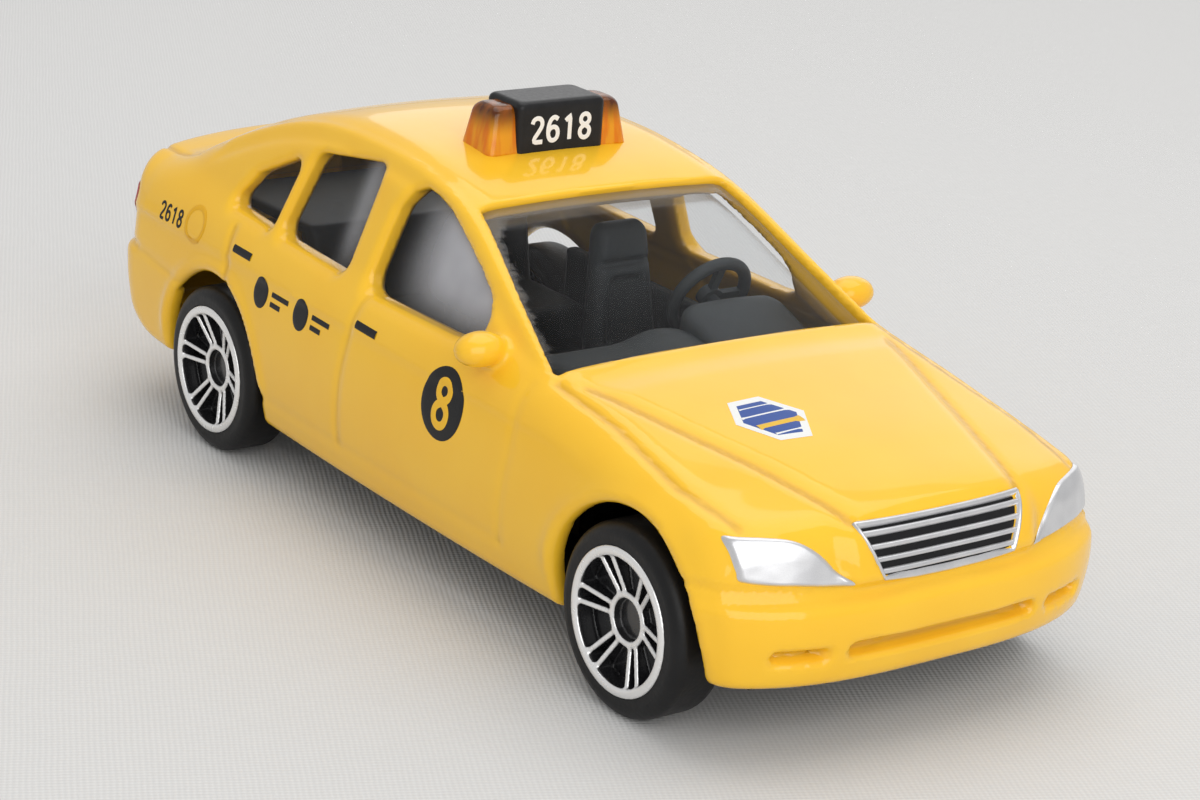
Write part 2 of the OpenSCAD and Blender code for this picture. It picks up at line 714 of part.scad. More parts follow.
module roof_sign_cover() {
    inner = sign_depth - 2 * face_slant + 0.04;
    color(black) translate([sign_x, 0, seat_h + eps]) difference() {
        sign_block(cover_len, sign_depth + cover_t, sign_h + cover_t, 0, 0);
        translate([-inner / 2, -cover_len, -1]) cube([inner, 2 * cover_len, sign_h + 1 - cover_t + 0.02]);
    }
}

body_shell();
window_glazing();
interior_tub();
steering_wheel();
base_plate();
axle(front_x);  // front_axle
axle(rear_x);  // rear_axle
rim(front_x, 1);  // front_left_rim
rim(front_x, -1);  // front_right_rim
rim(rear_x, 1);  // rear_left_rim
rim(rear_x, -1);  // rear_right_rim
tyre(front_x, 1);  // front_left_tyre
tyre(front_x, -1);  // front_right_tyre
tyre(rear_x, 1);  // rear_left_tyre
tyre(rear_x, -1);  // rear_right_tyre
roof_sign_lens();
roof_sign_cover();
base_screw(post_front);  // front_base_screw
base_screw(post_rear);  // rear_base_screw
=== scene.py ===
import itertools
import math

import bpy
import numpy as np
from bpy.props import FloatProperty, FloatVectorProperty, PointerProperty
from mathutils import Matrix, Vector


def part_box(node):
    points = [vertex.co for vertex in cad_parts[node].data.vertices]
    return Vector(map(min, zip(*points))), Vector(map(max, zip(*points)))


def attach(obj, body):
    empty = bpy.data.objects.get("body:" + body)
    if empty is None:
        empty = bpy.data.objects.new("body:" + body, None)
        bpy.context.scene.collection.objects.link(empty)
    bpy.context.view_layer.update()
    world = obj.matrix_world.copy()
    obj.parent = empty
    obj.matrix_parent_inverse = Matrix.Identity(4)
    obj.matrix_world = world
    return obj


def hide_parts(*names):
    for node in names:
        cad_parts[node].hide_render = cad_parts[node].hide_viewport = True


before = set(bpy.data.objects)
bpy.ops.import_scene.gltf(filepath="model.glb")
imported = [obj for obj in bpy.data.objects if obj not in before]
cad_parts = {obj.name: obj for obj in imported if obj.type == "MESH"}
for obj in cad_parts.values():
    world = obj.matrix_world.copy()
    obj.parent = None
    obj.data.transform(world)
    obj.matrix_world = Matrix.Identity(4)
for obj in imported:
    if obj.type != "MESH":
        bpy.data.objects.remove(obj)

bl_info = {
    "name": "Toy taxi",
    "version": (1, 0, 0),
    "blender": (4, 5, 0),
    "location": "View3D > Sidebar > Taxi",
    "description": "Builds a die-cast toy taxi on its packed frame",
    "category": "Object",
}

MM = 0.001
FAR = 1e9
TINY = 1e-9
CAR = "car"
SIDES = ((1, "left"), (-1, "right"))


# Curves and blends; lengths in this part are millimetres

def curve(points, x):
    """A smooth line through points, straight beyond both ends."""
    p = np.asarray(sorted(points), float)
    xs, ys = p[:, 0], p[:, 1]
    slope = np.empty_like(ys)
    slope[1:-1] = (ys[2:] - ys[:-2]) / (xs[2:] - xs[:-2])
    slope[0] = (ys[1] - ys[0]) / (xs[1] - xs[0])
    slope[-1] = (ys[-1] - ys[-2]) / (xs[-1] - xs[-2])
    x = np.asarray(x, float)
    inner = np.clip(x, xs[0], xs[-1])
    i = np.clip(np.searchsorted(xs, inner, side="right") - 1, 0, len(xs) - 2)
    h = xs[i + 1] - xs[i]
    t = (inner - xs[i]) / h
    t2, t3 = t * t, t * t * t
    value = (2 * t3 - 3 * t2 + 1) * ys[i] + (t3 - 2 * t2 + t) * h * slope[i]
    value = value + (3 * t2 - 2 * t3) * ys[i + 1] + (t3 - t2) * h * slope[i + 1]
    over = x - inner
    return value + over * np.where(over > 0, slope[-1], slope[0])


def smax(a, b, k):
    """The larger value, with the crease between both rounded over k."""
    h = np.maximum(k - np.abs(a - b), 0) / k
    return np.maximum(a, b) + h * h * k / 4


def smin(a, b, k):
    """The smaller value, with the crease between both rounded over k."""
    return -smax(-a, -b, k)


def ease(x, low, high):
    """0 below low, 1 above high, smooth between them."""
    t = np.clip((x - low) / (high - low), 0, 1)
    return t * t * (3 - 2 * t)


def bell(x, width):
    """1 where x is 0, fading to 0 on both sides."""
    return np.exp(-(x / width) ** 2)


def segment_gap(a, b, u, v):
    """Squared distance to the segment from a to b."""
    e = b - a
    wu, wv = u - a[0], v - a[1]
    t = np.clip((wu * e[0] + wv * e[1]) / (e @ e), 0, 1)
    return (wu - e[0] * t) ** 2 + (wv - e[1] * t) ** 2


def outline_distance(points, u, v):
    """Distance to a closed outline, negative inside it."""
    p = np.asarray(points, float)
    best = np.full(np.broadcast(u, v).shape, FAR)
    sign = np.ones_like(best)
    for a, b in zip(p, np.roll(p, 1, axis=0)):
        best = np.minimum(best, segment_gap(a, b, u, v))
        above, below = v >= a[1], v < b[1]
        left = (b - a)[0] * (v - a[1]) > (b - a)[1] * (u - a[0])
        sign = np.where((above & below & left) | (~above & ~below & ~left), -sign, sign)
    return sign * np.sqrt(best)


def line_distance(points, u, v):
    """Distance to an open line of points."""
    p = np.asarray(points, float)
    best = np.full(np.broadcast(u, v).shape, FAR)
    for a, b in zip(p[:-1], p[1:]):
        best = np.minimum(best, segment_gap(a, b, u, v))
    return np.sqrt(best)


def ellipsoid(x, y, z, centre, half):
    """Distance from an ellipsoid's middle, 1 on its surface."""
    return np.sqrt(sum(((a - c) / h) ** 2 for a, c, h in zip((x, y, z), centre, half)))


def rounded_box(x, y, z, centre, half, r):
    """Distance to a box whose edges are rounded over r."""
    qx, qy, qz = [np.abs(a - c) - h + r for a, c, h in zip((x, y, z), centre, half)]
    far = np.sqrt(np.maximum(qx, 0) ** 2 + np.maximum(qy, 0) ** 2 + np.maximum(qz, 0) ** 2)
    return far + np.minimum(np.maximum(np.maximum(qx, qy), qz), 0) - r


# Form of the casting: x to the front, y from the middle outwards, z up

HALF_LENGTH, HALF_WIDTH, WAIST = 38.0, 15.3, 9.5
WALL, SKIN_DEPTH = 1.2, 1.05
SILL, FRONT_UNDER, REAR_UNDER = 3.8, 4.4, 4.8
AXLES, WHEEL_Z, ARCH_R, ARCH_IN = (26.8, -21.2), 5.75, 6.75, 10.5
# Heights of hood, belt and trunk, and of the roof, over x; set-backs of nose and tail over z
DECK = [
    (39, 11.5), (36.3, 13.6), (31, 15.0), (25, 15.95), (17.1, 16.9), (3, 17.1), (-17, 17.7),
    (-25, 18.45), (-33, 18.7), (-37.2, 18.3), (-39, 17.2),
]
DECK_FALL = [(38, 1.0), (31, 1.0), (17, 0.5), (0, 0.5), (-25, 0.9), (-38, 1.1)]
ROOF = [
    (21, 14.95), (17.1, 16.85), (10.2, 20.2), (3.4, 23.4), (-2.9, 24.75), (-9, 25.1), (-15, 24.85),
    (-20, 23.75), (-26, 21.3), (-32, 17.95), (-33.5, 16),
]
NOSE = [
    (3.2, 1.8), (4.4, 0.75), (5.5, 0.3), (7.5, 0.0), (8.9, 0.06), (9.35, 0.25), (9.75, 0.72),
    (10.3, 0.86), (13.5, 1.75), (15, 2.6), (18, 5),
]
TAIL = [
    (3.2, 6.2), (4, 4.6), (6, 1.2), (8, 0.3), (10.2, 0.0), (11.2, 0.15), (11.8, 0.9), (14.2, 1.0),
    (18.3, 0.9), (20, 1.4),
]
# Lower edge over x, and how far the flanks bow there
UNDER = [
    (-38, REAR_UNDER), (-28, REAR_UNDER), (-14.5, SILL), (20, SILL), (33.5, FRONT_UNDER),
    (38, FRONT_UNDER),
]
STAND = [(-38, 0.55), (-30, 0.6), (-10, 1), (38, 1)]
NOSE_CORNER, TAIL_CORNER = (15.2, 4.6), (15.0, 3.6)
SHOULDER_R, END_R, SILL_R, RAIL_R, SIDE_STEEP = 2.4, 1.2, 0.7, 2.2, 1.07
MIRROR_CENTRE, MIRROR_HALF, MIRROR_SIZE = (10.9, 14.4, 17.0), (1.3, 1.7, 1.08), 1.2
# Side windows: corner radius and outline in x and z
WINDOWS = (
    (0.5, [(-3.55, 17.2), (-3.4, 19.5), (-3.2, 21.3), (-2.75, 22.2), (-1.9, 22.55), (-0.7, 22.4),
           (1.1, 21.9), (3.4, 20.85), (5.8, 19.65), (7.5, 18.65), (8.2, 17.9), (8.15, 17.2),
           (7.3, 16.8), (5.6, 16.65), (-2.8, 16.6), (-3.35, 16.75)]),
    (1.0, [(-13.55, 21.5), (-14.35, 17.6), (-7.75, 17.4), (-7.6, 22.3)]),
    (0.6, [(-16.45, 20.85), (-17.05, 17.35), (-21.2, 17.6), (-20.0, 19.1)]),
)
# Both screens: foot and top as x and z, then the outline as y and the way up from the foot
SCREEN_LINE = ((15.9, 16.85), (3.16, 23.3))
SCREEN = [(9.45, 14.28), (12.24, 0), (-12.24, 0), (-9.45, 14.28)]
BACKLIGHT_LINE = ((-30.6, 19.0), (-20.2, 23.4))
BACKLIGHT = [(8, 11.3), (10, 0), (-10, 0), (-8, 11.3)]
OPENING_DEPTH = 2.6
# Lamps and grille in y and z
LAMP = [
    (6.8, 10.4), (7.65, 11.2), (8.6, 12.2), (9.8, 12.9), (11.3, 13.1), (12.6, 13.1), (13.25, 13.0),
    (13.2, 12.3), (13.05, 11.4), (12.7, 10.8), (10.1, 10.6),
]
TAIL_LAMP = [
    (9.8, 15.2), (12.0, 15.5), (13.9, 15.6), (14.3, 14.6), (13.9, 13.4), (12.0, 13.1), (9.6, 13.2),
]
GRILLE = [
    (6.1, 13.45), (4.85, 10.6), (2.5, 10.35), (0, 10.27), (-2.5, 10.35), (-4.85, 10.6),
    (-6.1, 13.45),
]
# Engraved lines: seen from above in x and y, and on the flanks in x and z with a share of the depth
HOOD_CREASE = [(17.6, 11.7), (24, 9.75), (30, 7.9), (36.6, 6.0)]
HOOD_EDGE = [(17, 11.9), (24, 9.75), (30, 7.9), (36.6, 6.0)]
FENDER_CREASE = [(16.5, 12.6), (22.3, 12.45), (28.8, 12.9), (33.6, 12.3)]
TRUNK_SEAM = [(-29.5, 11.2), (-33, 11.2), (-36.6, 10.9)]
FLANK_SEAMS = (
    (0.75, [(-20.1, 16.3), (-19.3, 11.8), (-15.6, 8.6), (-14.2, 6.0)]),
    (0.6, [(-3.2, 16.0), (-3.9, 6.4)]),
    (0.35, [(14.9, 15.9), (15.3, 12.0), (14.6, 6.2)]),
    (0.3, [(-14.2, 6.0), (14.6, 6.2)]),
    (0.5, [(-36.8, 11.4), (-31, 11.2), (-26.0, 10.7)]),
)
LID_Z = 12.6
HOOD_LINE, LID_LINE, FLANK_LINE, ENGRAVED = 0.34, 0.3, 0.36, 0.17
# Heights and depths of the relief
HOOD_RISE, LIP_RISE = 0.22, 0.16
LAMP_RISE, LAMP_GROOVE, RAIL_RISE, RAIL_GROOVE = 0.16, 0.09, 0.16, 0.1
BROW_DEPTH, GRILLE_DEPTH, PLATE_DEPTH, LEDGE_DEPTH, SLOT_DEPTH = 0.18, 0.5, 0.3, 0.12, 0.85
GRILLE_PROUD = 0.55
# Glazing: how far under the paint its two faces lie, and where it ends
GLASS_FACES, GLASS_FOOT, GLASS_FRONT = (0.42, 1.15), 15.6, 16.9


def corner_drop(y, half, depth):
    """Set-back of a bumper's plan view: flat in the middle, round at the corner."""
    t = np.clip(np.abs(y) / half, 0, 1)
    drop = depth * (1 - np.maximum(1 - t ** 3.2, 0) ** (1 / 1.35))
    return drop + np.maximum(np.abs(y) - half, 0) * 3


def flank(x, z):
    """Half width of the lower body."""
    bow = 0.030 * curve(STAND, x)
    return HALF_WIDTH - 0.75 * ((x - 2) / 36) ** 2 - bow * (z - WAIST) ** 2


def deck(x, y):
    """Height of hood, belt and trunk."""
    return curve(DECK, x) - curve(DECK_FALL, x) * (y / 13) ** 2


def roof(x, y):
    """Height of the cabin."""
    return curve(ROOF, x) - 0.004 * y ** 2


def nose(y, z):
    """Front end, which stands out around the grille."""
    tall = ease(z, 10.0, 10.7) * (1 - ease(z, 13.4, 14.8))
    proud = GRILLE_PROUD * (1 - ease(np.abs(y), 6.2, 7.8)) * tall
    return HALF_LENGTH - curve(NOSE, z) - corner_drop(y, *NOSE_CORNER) + proud


def tail(y, z):
    """Rear end."""
    return -HALF_LENGTH + curve(TAIL, z) + corner_drop(y, *TAIL_CORNER)


def steepness(fn, u, v, e=0.05):
    """Length of the gradient of a height field, which turns its height into a distance."""
    gu = (fn(u + e, v) - fn(u - e, v)) / (2 * e)
    gv = (fn(u, v + e) - fn(u, v - e)) / (2 * e)
    return np.sqrt(1 + gu ** 2 + gv ** 2)


def lower_body(x, y, z, within=0.0, bottom=0.0):
    """Body below the windows, or its shape some way within the paint and with a lower bottom."""
    side = (y - flank(x, z)) / steepness(flank, x, z) + within
    top = (z - deck(x, y)) / steepness(deck, x, y) + within
    front = (x - nose(y, z)) / steepness(nose, y, z) + within
    back = (tail(y, z) - x) / steepness(tail, y, z) + within
    f = smax(smax(smax(side, top, SHOULDER_R), front, END_R), back, END_R)
    return smax(f, curve(UNDER, x) - bottom - z, SILL_R)


def cabin_side(x, z):
    """Half width of the cabin."""
    return 13.6 - 0.38 * (z - 15.8) - 0.0005 * np.maximum(x + 8, 0) ** 2


def cabin(x, y, z, within=0.0, floor=14.5):
    """Cabin from its floor up, or its shape some way within the paint."""
    side = (y - cabin_side(x, z)) / SIDE_STEEP + within
    top = (z - roof(x, y)) / steepness(roof, x, y) + within
    return np.maximum(smax(side, top, RAIL_R), floor - z)


def rail_line(x, y, z):
    """0 on the edge between roof and cabin side, more further down the side."""
    return (y - cabin_side(x, z)) / SIDE_STEEP - (z - roof(x, y)) / steepness(roof, x, y)


def creases(x, y, z):
    """How deep each engraved line lies, 0 to 1, over the whole casting."""
    hood = ease(z, 12.6, 13.4) * (1 - ease(x, 35.6, 36.6))
    deep = 0.9 * hood * ease(x, 17.0, 18.4) * bell(line_distance(HOOD_CREASE, x, y), HOOD_LINE)
    deep = deep + 0.8 * hood * bell(line_distance(FENDER_CREASE, x, y), HOOD_LINE)
    trunk = ease(z, 16.4, 17.2) * (1 - ease(x, -29.6, -28.6))
    deep = deep + 0.9 * trunk * bell(line_distance(TRUNK_SEAM, x, y), LID_LINE)
    rear = (1 - ease(x, -35.2, -34.4)) * (1 - ease(y, 9.2, 9.8))
    deep = deep + 0.9 * rear * bell(z - LID_Z, LID_LINE)
    sides = ease(y, 11.5, 12.5) * (1 - ease(z, 16.1, 16.7))
    for share, seam in FLANK_SEAMS:
        deep = deep + share * sides * bell(line_distance(seam, x, z), FLANK_LINE)
    return deep


def relief(x, y, z):
    """Raised and sunk shapes of the casting, in millimetres outwards."""
    hood = ease(curve(HOOD_EDGE, x) - y, -0.3, 1.2) * ease(z, 12.5, 13.2)
    up = HOOD_RISE * hood * ease(x, 17.5, 20) * (1 - ease(x, 35.4, 36.4))
    lamp = ease(x, 29, 30.5) * (1 - ease(outline_distance(LAMP, y, z), -0.35, 0.1))
    up = up + lamp * (LAMP_RISE - LAMP_GROOVE * bell(y - 12.2 - 0.2 * (z - 11.8), 0.35))
    rail = rail_line(x, y, z)
    rail = RAIL_RISE * bell(rail + 0.1, 0.45) - RAIL_GROOVE * bell(rail - 1.0, 0.4)
    up = up + ease(x, -27, -25) * ease(z, 16.5, 17.5) * rail
    brow = ease(z, 10.1, 10.3) * (1 - ease(z, 10.3, 10.7))
    up = up - BROW_DEPTH * brow * ease(x, 31, 33) * ease(y, 6.6, 7.2)
    grille = 1 - ease(outline_distance(GRILLE, y, z), -0.25, 0.05)
    up = up - GRILLE_DEPTH * ease(x, 34.5, 35) * grille
    for axle in AXLES:
        lip = bell(np.hypot(x - axle, z - WHEEL_Z) - ARCH_R - 0.55, 0.5)
        up = up + LIP_RISE * lip * ease(y, 12, 13.5) * ease(z, 5.0, 7.5)
    plate = np.maximum(y - 3.9, np.abs(z - 14.6) - 0.95)
    up = up - PLATE_DEPTH * (1 - ease(x, -35.2, -34.4)) * (1 - ease(plate, -0.3, 0.15))
    ledge = bell(z - 11.35, 0.3) * (1 - ease(x, -33.4, -32))
    return up - LEDGE_DEPTH * ledge - SLOT_DEPTH * bumper_slots(x, y, z)


def bumper_slots(x, y, z):
    """Depth, 0 to 1, of the slot and the two lamp recesses in the front bumper."""
    slot = np.hypot(np.maximum(y - 6.5, 0), z - 6.72) - 0.45
    fog = np.hypot(np.maximum(np.abs(y - 9.8) - 1.3, 0), z - 6.62) - 0.38
    return ease(x, 32, 33) * (1 - ease(slot, -0.2, 0.12) * ease(fog, -0.4, 0.25))


def plain_body(x, y, z):
    """Outside of the casting without its openings and engraved lines."""
    f = smin(lower_body(x, y, z), cabin(x, y, z), 1.0)
    mirror = (ellipsoid(x, y, z, MIRROR_CENTRE, MIRROR_HALF) - 1) * MIRROR_SIZE
    return smin(f, mirror, 0.5)


def outside(x, y, z):
    """Outside of the casting with its relief and engraved lines."""
    y = np.abs(y)
    return plain_body(x, y, z) - relief(x, y, z) + ENGRAVED * creases(x, y, z)


def plain_front(x, y, z):
    """The plain outside on both sides of the middle."""
    return plain_body(x, np.abs(y), z)


def on_screen(line, x, z):
    """Way up a screen from its foot, and height above its line."""
    (x0, z0), (x1, z1) = line
    length = math.hypot(x1 - x0, z1 - z0)
    dx, dz = (x1 - x0) / length, (z1 - z0) / length
    return (x - x0) * dx + (z - z0) * dz, abs(dz) * np.sign(-dx) * (x - x0) + abs(dx) * (z - z0)


def openings(x, y, z):
    """Side windows, windscreen and rear window as three distances."""
    side = np.full(np.broadcast(x, y, z).shape, FAR)
    for radius, window in WINDOWS:
        side = np.minimum(side, outline_distance(window, x, z) - radius)
    side = np.maximum(side, 7 - y)
    up, out = on_screen(SCREEN_LINE, x, z)
    screen = np.maximum(outline_distance(SCREEN, y, up) - 0.05, -OPENING_DEPTH - out)
    up, out = on_screen(BACKLIGHT_LINE, x, z)
    rear = np.maximum(outline_distance(BACKLIGHT, y, up) - 0.3, -OPENING_DEPTH - out)
    return side, screen, rear


def casting(x, y, z):
    """The hollow casting."""
    y = np.abs(y)
    f = outside(x, y, z)
    hollow = smin(lower_body(x, y, z, WALL, 4.0), cabin(x, y, z, 1.3 * WALL, 10.0), 0.6)
    f = smax(f, -hollow, 0.2)
    for axle in AXLES:
        arch = np.maximum(np.hypot(x - axle, z - WHEEL_Z) - ARCH_R, ARCH_IN - y)
        f = smax(f, -arch, 0.6)
    side, screen, rear = openings(x, y, z)
    f = smax(f, -side, 0.7)
    f = smax(f, -screen, 0.25)
    return smax(f, -rear, 0.4)


def glass_sheet(x, y, z):
    """The clear insert, a sheet a little under the paint."""
    y = np.abs(y)
    outer, inner = GLASS_FACES
    sheet = np.maximum(cabin(x, y, z, outer, GLASS_FOOT), -cabin(x, y, z, inner, 10.0))
    return np.maximum(sheet, x - GLASS_FRONT)


def instrument_hood(x, y, z):
    """Raised part of the dashboard ahead of the driver."""
    f = rounded_box(x, y, z, (11.3, 5.7, 15.2), (2.6, 4.1, 2.4), 1.4)
    return smax(f, z - 17.3 + 0.4 * (x - 10) + 0.03 * (y - 5.2) ** 2, 0.8)


SEAT_Y = 5.6


def interior(x, y, z):
    """Tub with floor, sides, dashboard, front seats and rear bench."""
    y = np.abs(y)
    f = rounded_box(x, y, z, (-5.1, 0, 7.3), (20.5, 10.3, 0.45), 0.2)
    f = smin(f, rounded_box(x, y, z, (2.6, 9.8, 10.0), (16.4, 0.5, 3.9), 0.3), 0.4)
    dash = rounded_box(x, y, z, (12.2, 0, 11.6), (3.5, 9.7, 3.8), 1.0)
    middle = ellipsoid(x, y, z, (10.4, 0, 15.2), (1.9, 1.9, 0.8)) - 1
    f = smin(f, smin(dash, middle * 0.9, 1.0), 0.3)
    lean = x + 2.3 + 0.12 * (z - 14)
    wide = (y - SEAT_Y) / (1 - 0.038 * np.maximum(z - 11.5, 0))
    back = rounded_box(lean, wide, z, (0, 0, 13.85), (0.95, 2.75, 5.25), 0.9)
    panel = rounded_box(lean, wide, z, (1.15, 0, 12.9), (0.7, 1.6, 2.7), 0.5)
    seam = rounded_box(lean, wide, z, (1.1, 0, 16.5), (0.55, 3.0, 0.22), 0.15)
    back = smax(smax(back, -panel, 0.25), -seam, 0.25)
    seat = rounded_box(x, y - SEAT_Y, z, (0.9, 0, 9.6), (3.2, 2.6, 1.5), 0.8)
    f = smin(f, smin(back, seat, 0.4), 0.3)
    bench = rounded_box(x, y, z, (-13.6, 0, 9.0), (3.6, 9.0, 1.8), 0.8)
    rest = rounded_box(x + 18.2 + 0.2 * (z - 12), y, z, (0, 0, 11.8), (1.0, 9.0, 4.3), 0.7)
    shelf = rounded_box(x, y, z, (-24.3, 0, 15.7), (6.1, 9.0, 0.4), 0.3)
    return smin(f, np.minimum(smin(bench, rest, 0.6), shelf), 0.3)


# Wheel centre: middle and half of each ring's radius, then of its depth from the car's middle
RING, HUB = (4.13, 0.3, 14.4, 0.65), (1.45, 0.2, 14.2, 0.75)
RIM_WALL, RIM_PLATE = (4.28, 0.14, 12.9, 1.6), (0, 4.25, 13.5, 0.22)
RIM_BOSS = (1.0, 0.36, 12.3, 1.0)
SPOKE_PITCH, SPOKE_TURN = math.pi / 3, math.radians(35)
DISH_DEPTH, DISH_R, DISH_RUN = 0.65, 4.0, 2.4
FOIL_LEVEL = 14.45, 14.53


def dish(r):
    """How far the rim's face lies back towards its hub."""
    return DISH_DEPTH * np.clip((DISH_R - r) / DISH_RUN, 0, 1)


def wheel_centre(x, y, z):
    """Rim about its own axle: ring, wall, plate, boss, hub ring and six pairs of spokes."""
    r = np.hypot(x, z)
    level = y + dish(r)

    def ring(size, depth, k):
        middle, half, place, reach = size
        return smax(np.abs(r - middle) - half, np.abs(depth - place) - reach, k)

    turn = (np.arctan2(z, x) + SPOKE_TURN) % SPOKE_PITCH - SPOKE_PITCH / 2
    along, aside = r * np.cos(turn), r * np.sin(turn)
    spoke = np.abs(np.abs(aside) - 0.26 - 0.1 * (along - 1.3)) - 0.17
    spoke = smax(spoke, np.abs(level - 14.15) - 0.75, 0.2)
    spoke = np.maximum(spoke, np.abs(r - 2.75) - 1.3)
    f = smin(smin(ring(RING, y, 0.25), ring(HUB, level, 0.2), 0.15), spoke, 0.15)
    for size in (RIM_WALL, RIM_PLATE, RIM_BOSS):
        f = np.minimum(f, ring(size, y, TINY))
    return f


# Meshes from forms

SETTLE_REACH, SETTLE_STEPS, SETTLE_HALVINGS = 4.0, 64, 22
STROKE_STEP = 0.25


def half_net(form, low, high, step):
    """Points and quads on the surface form = 0 for y from 0 up.

    A corner number of len(points) or more stands for the mirror image of a point.
    """
    axes = [np.arange(a, b + step, step) for a, b in zip(low, high)]
    axes[1] = np.arange(-step, high[1] + step, step)
    value = form(*np.meshgrid(*axes, indexing="ij"))
    inside = value < 0
    n = value.shape
    # Cells that the surface crosses, and the number of each one's point
    filled = np.zeros([m - 1 for m in n], int)
    corners = np.array(list(itertools.product((0, 1), repeat=3)))
    for c in corners:
        filled += inside[tuple(slice(o, m - 1 + o) for o, m in zip(c, n))]
    filled[:, 0, :] = filled[:, 1, :]
    cells = np.argwhere((filled > 0) & (filled < 8))
    cells = cells[cells[:, 1] > 0]
    index = -np.ones(filled.shape, int)
    index[tuple(cells.T)] = np.arange(len(cells))
    index[:, 0, :] = np.where(index[:, 1, :] >= 0, index[:, 1, :] + len(cells), -1)
    # Each point is the mean of the crossings on its cell's edges
    total = np.zeros((len(cells), 3))
    count = np.zeros(len(cells))
    for p, q in itertools.combinations(corners, 2):
        if np.abs(p - q).sum() != 1:
            continue
        vp, vq = value[tuple((cells + p).T)], value[tuple((cells + q).T)]
        cross = (vp < 0) != (vq < 0)
        t = np.where(cross, vp / np.where(cross, vp - vq, 1), 0)
        total += np.where(cross[:, None], p + t[:, None] * (q - p), 0)
        count += cross
    points = (cells + total / count[:, None]) * step + np.array([a[0] for a in axes])
    # A quad around each grid edge that the surface crosses
    quads = []
    for axis in range(3):
        u, v = [a for a in range(3) if a != axis]
        near, far = [slice(1, -1)] * 3, [slice(1, -1)] * 3
        near[axis], far[axis] = slice(0, -1), slice(1, None)
        change = np.argwhere(inside[tuple(near)] != inside[tuple(far)])
        change[:, u] += 1
        change[:, v] += 1
        change = change[change[:, 1] > 0]
        ring = []
        for du, dv in ((-1, -1), (0, -1), (0, 0), (-1, 0)):
            c = change.copy()
            c[:, u] += du
            c[:, v] += dv
            ring.append(index[tuple(c.T)])
        quad = np.stack(ring, 1)
        flip = inside[tuple(change.T)] == (axis == 1)
        quad[flip] = quad[flip][:, ::-1]
        quads.append(quad)
    quads = np.concatenate(quads)
    return points, quads[(quads >= 0).all(1)]


def slope_of(form, p, e=0.02):
    """Gradient of a form at points."""
    columns = []
    for axis in range(3):
        d = np.zeros(3)
        d[axis] = e
        columns.append((form(*(p + d).T) - form(*(p - d).T)) / (2 * e))
    return np.stack(columns, 1)


def pull(form, p, reach, rounds=3):
    """Moves points onto the surface form = 0, by no more than reach in each round."""
    for _ in range(rounds):
        g = slope_of(form, p)
        size = np.maximum((g * g).sum(1), 0.25)
        move = -form(*p.T)[:, None] * g / size[:, None]
        length = np.linalg.norm(move, axis=1)
        p = p + move * np.minimum(1, reach / np.maximum(length, TINY))[:, None]
    return p


def net(form, low, high, step, rounds=3):
    """Half net of a form, pulled onto it."""
    points, quads = half_net(form, low, high, step)
    return pull(form, points, step / 2, rounds), quads


def mirrored(verts, quads):
    """Both halves of a half net as one mesh, joined along the middle."""
    count = len(verts)
    both = np.concatenate([verts, verts * [1, -1, 1]])
    other = np.where(quads >= count, quads - count, quads + count)[:, ::-1]
    middle = (quads >= count).any(1)
    return both, np.concatenate([quads, other[~middle]])


def make_object(name, verts, faces, material, smooth=True, attributes=None):
    """A mesh object from points in millimetres."""
    mesh = bpy.data.meshes.new(name)
    used = np.unique(np.concatenate([np.asarray(f).ravel() for f in faces]))
    back = np.full(len(verts), -1)
    back[used] = np.arange(len(used))
    points = np.asarray(verts, float)[used] * MM
    mesh.from_pydata(points.tolist(), [], [back[list(f)].tolist() for f in faces])
    for key, values in (attributes or {}).items():
        layer = mesh.attributes.new(key, "FLOAT", "POINT")
        layer.data.foreach_set("value", np.asarray(values, np.float32)[used])
    mesh.polygons.foreach_set("use_smooth", [smooth] * len(mesh.polygons))
    mesh.materials.append(material)
    mesh.update()
    piece = bpy.data.objects.new(name, mesh)
    bpy.context.scene.collection.objects.link(piece)
    return piece


def settle(points, direction, form):
    """Moves each point along direction, from some way outside it, to the first surface form = 0."""
    d = np.asarray(direction, float)
    d = d / np.linalg.norm(d)
    start = points - d * SETTLE_REACH
    last = np.zeros(len(points))
    hit = np.full(len(points), np.nan)
    for t in np.linspace(0, 2 * SETTLE_REACH, SETTLE_STEPS):
        now = form(*(start + d * t).T) < 0
        fresh = now & np.isnan(hit)
        hit[fresh] = t
        last[np.isnan(hit)] = t
    low, high = last, np.where(np.isnan(hit), last, hit)
    for _ in range(SETTLE_HALVINGS):
        mid = (low + high) / 2
        within = form(*(start + d * mid[:, None]).T) < 0
        low, high = np.where(within, low, mid), np.where(within, mid, high)
    return start + d * high[:, None]


def smooth_loop(points, per_side=6):
    """A closed smooth outline through corner points."""
    p = np.asarray(points, float)
    n = len(p)
    out = []
    for i in range(n):
        a, b, c, d = p[i - 1], p[i], p[(i + 1) % n], p[(i + 2) % n]
        for t in np.arange(per_side) / per_side:
            out.append(0.5 * (2 * b + (c - a) * t + (2 * a - 5 * b + 4 * c - d) * t * t
                              + (3 * b - a - 3 * c + d) * t ** 3))
    return np.array(out)


def straight_loop(points, per_side):
    """A closed outline with straight sides between corner points."""
    sides = zip(points, points[1:] + points[:1])
    return np.concatenate([np.linspace(a, b, per_side, endpoint=False) for a, b in sides])


def oval(u, v, half_u, half_v, count=44):
    """A closed oval outline."""
    turn = np.linspace(0, 2 * np.pi, count, endpoint=False)
    return np.stack([u + half_u * np.cos(turn), v + half_v * np.sin(turn)], 1)


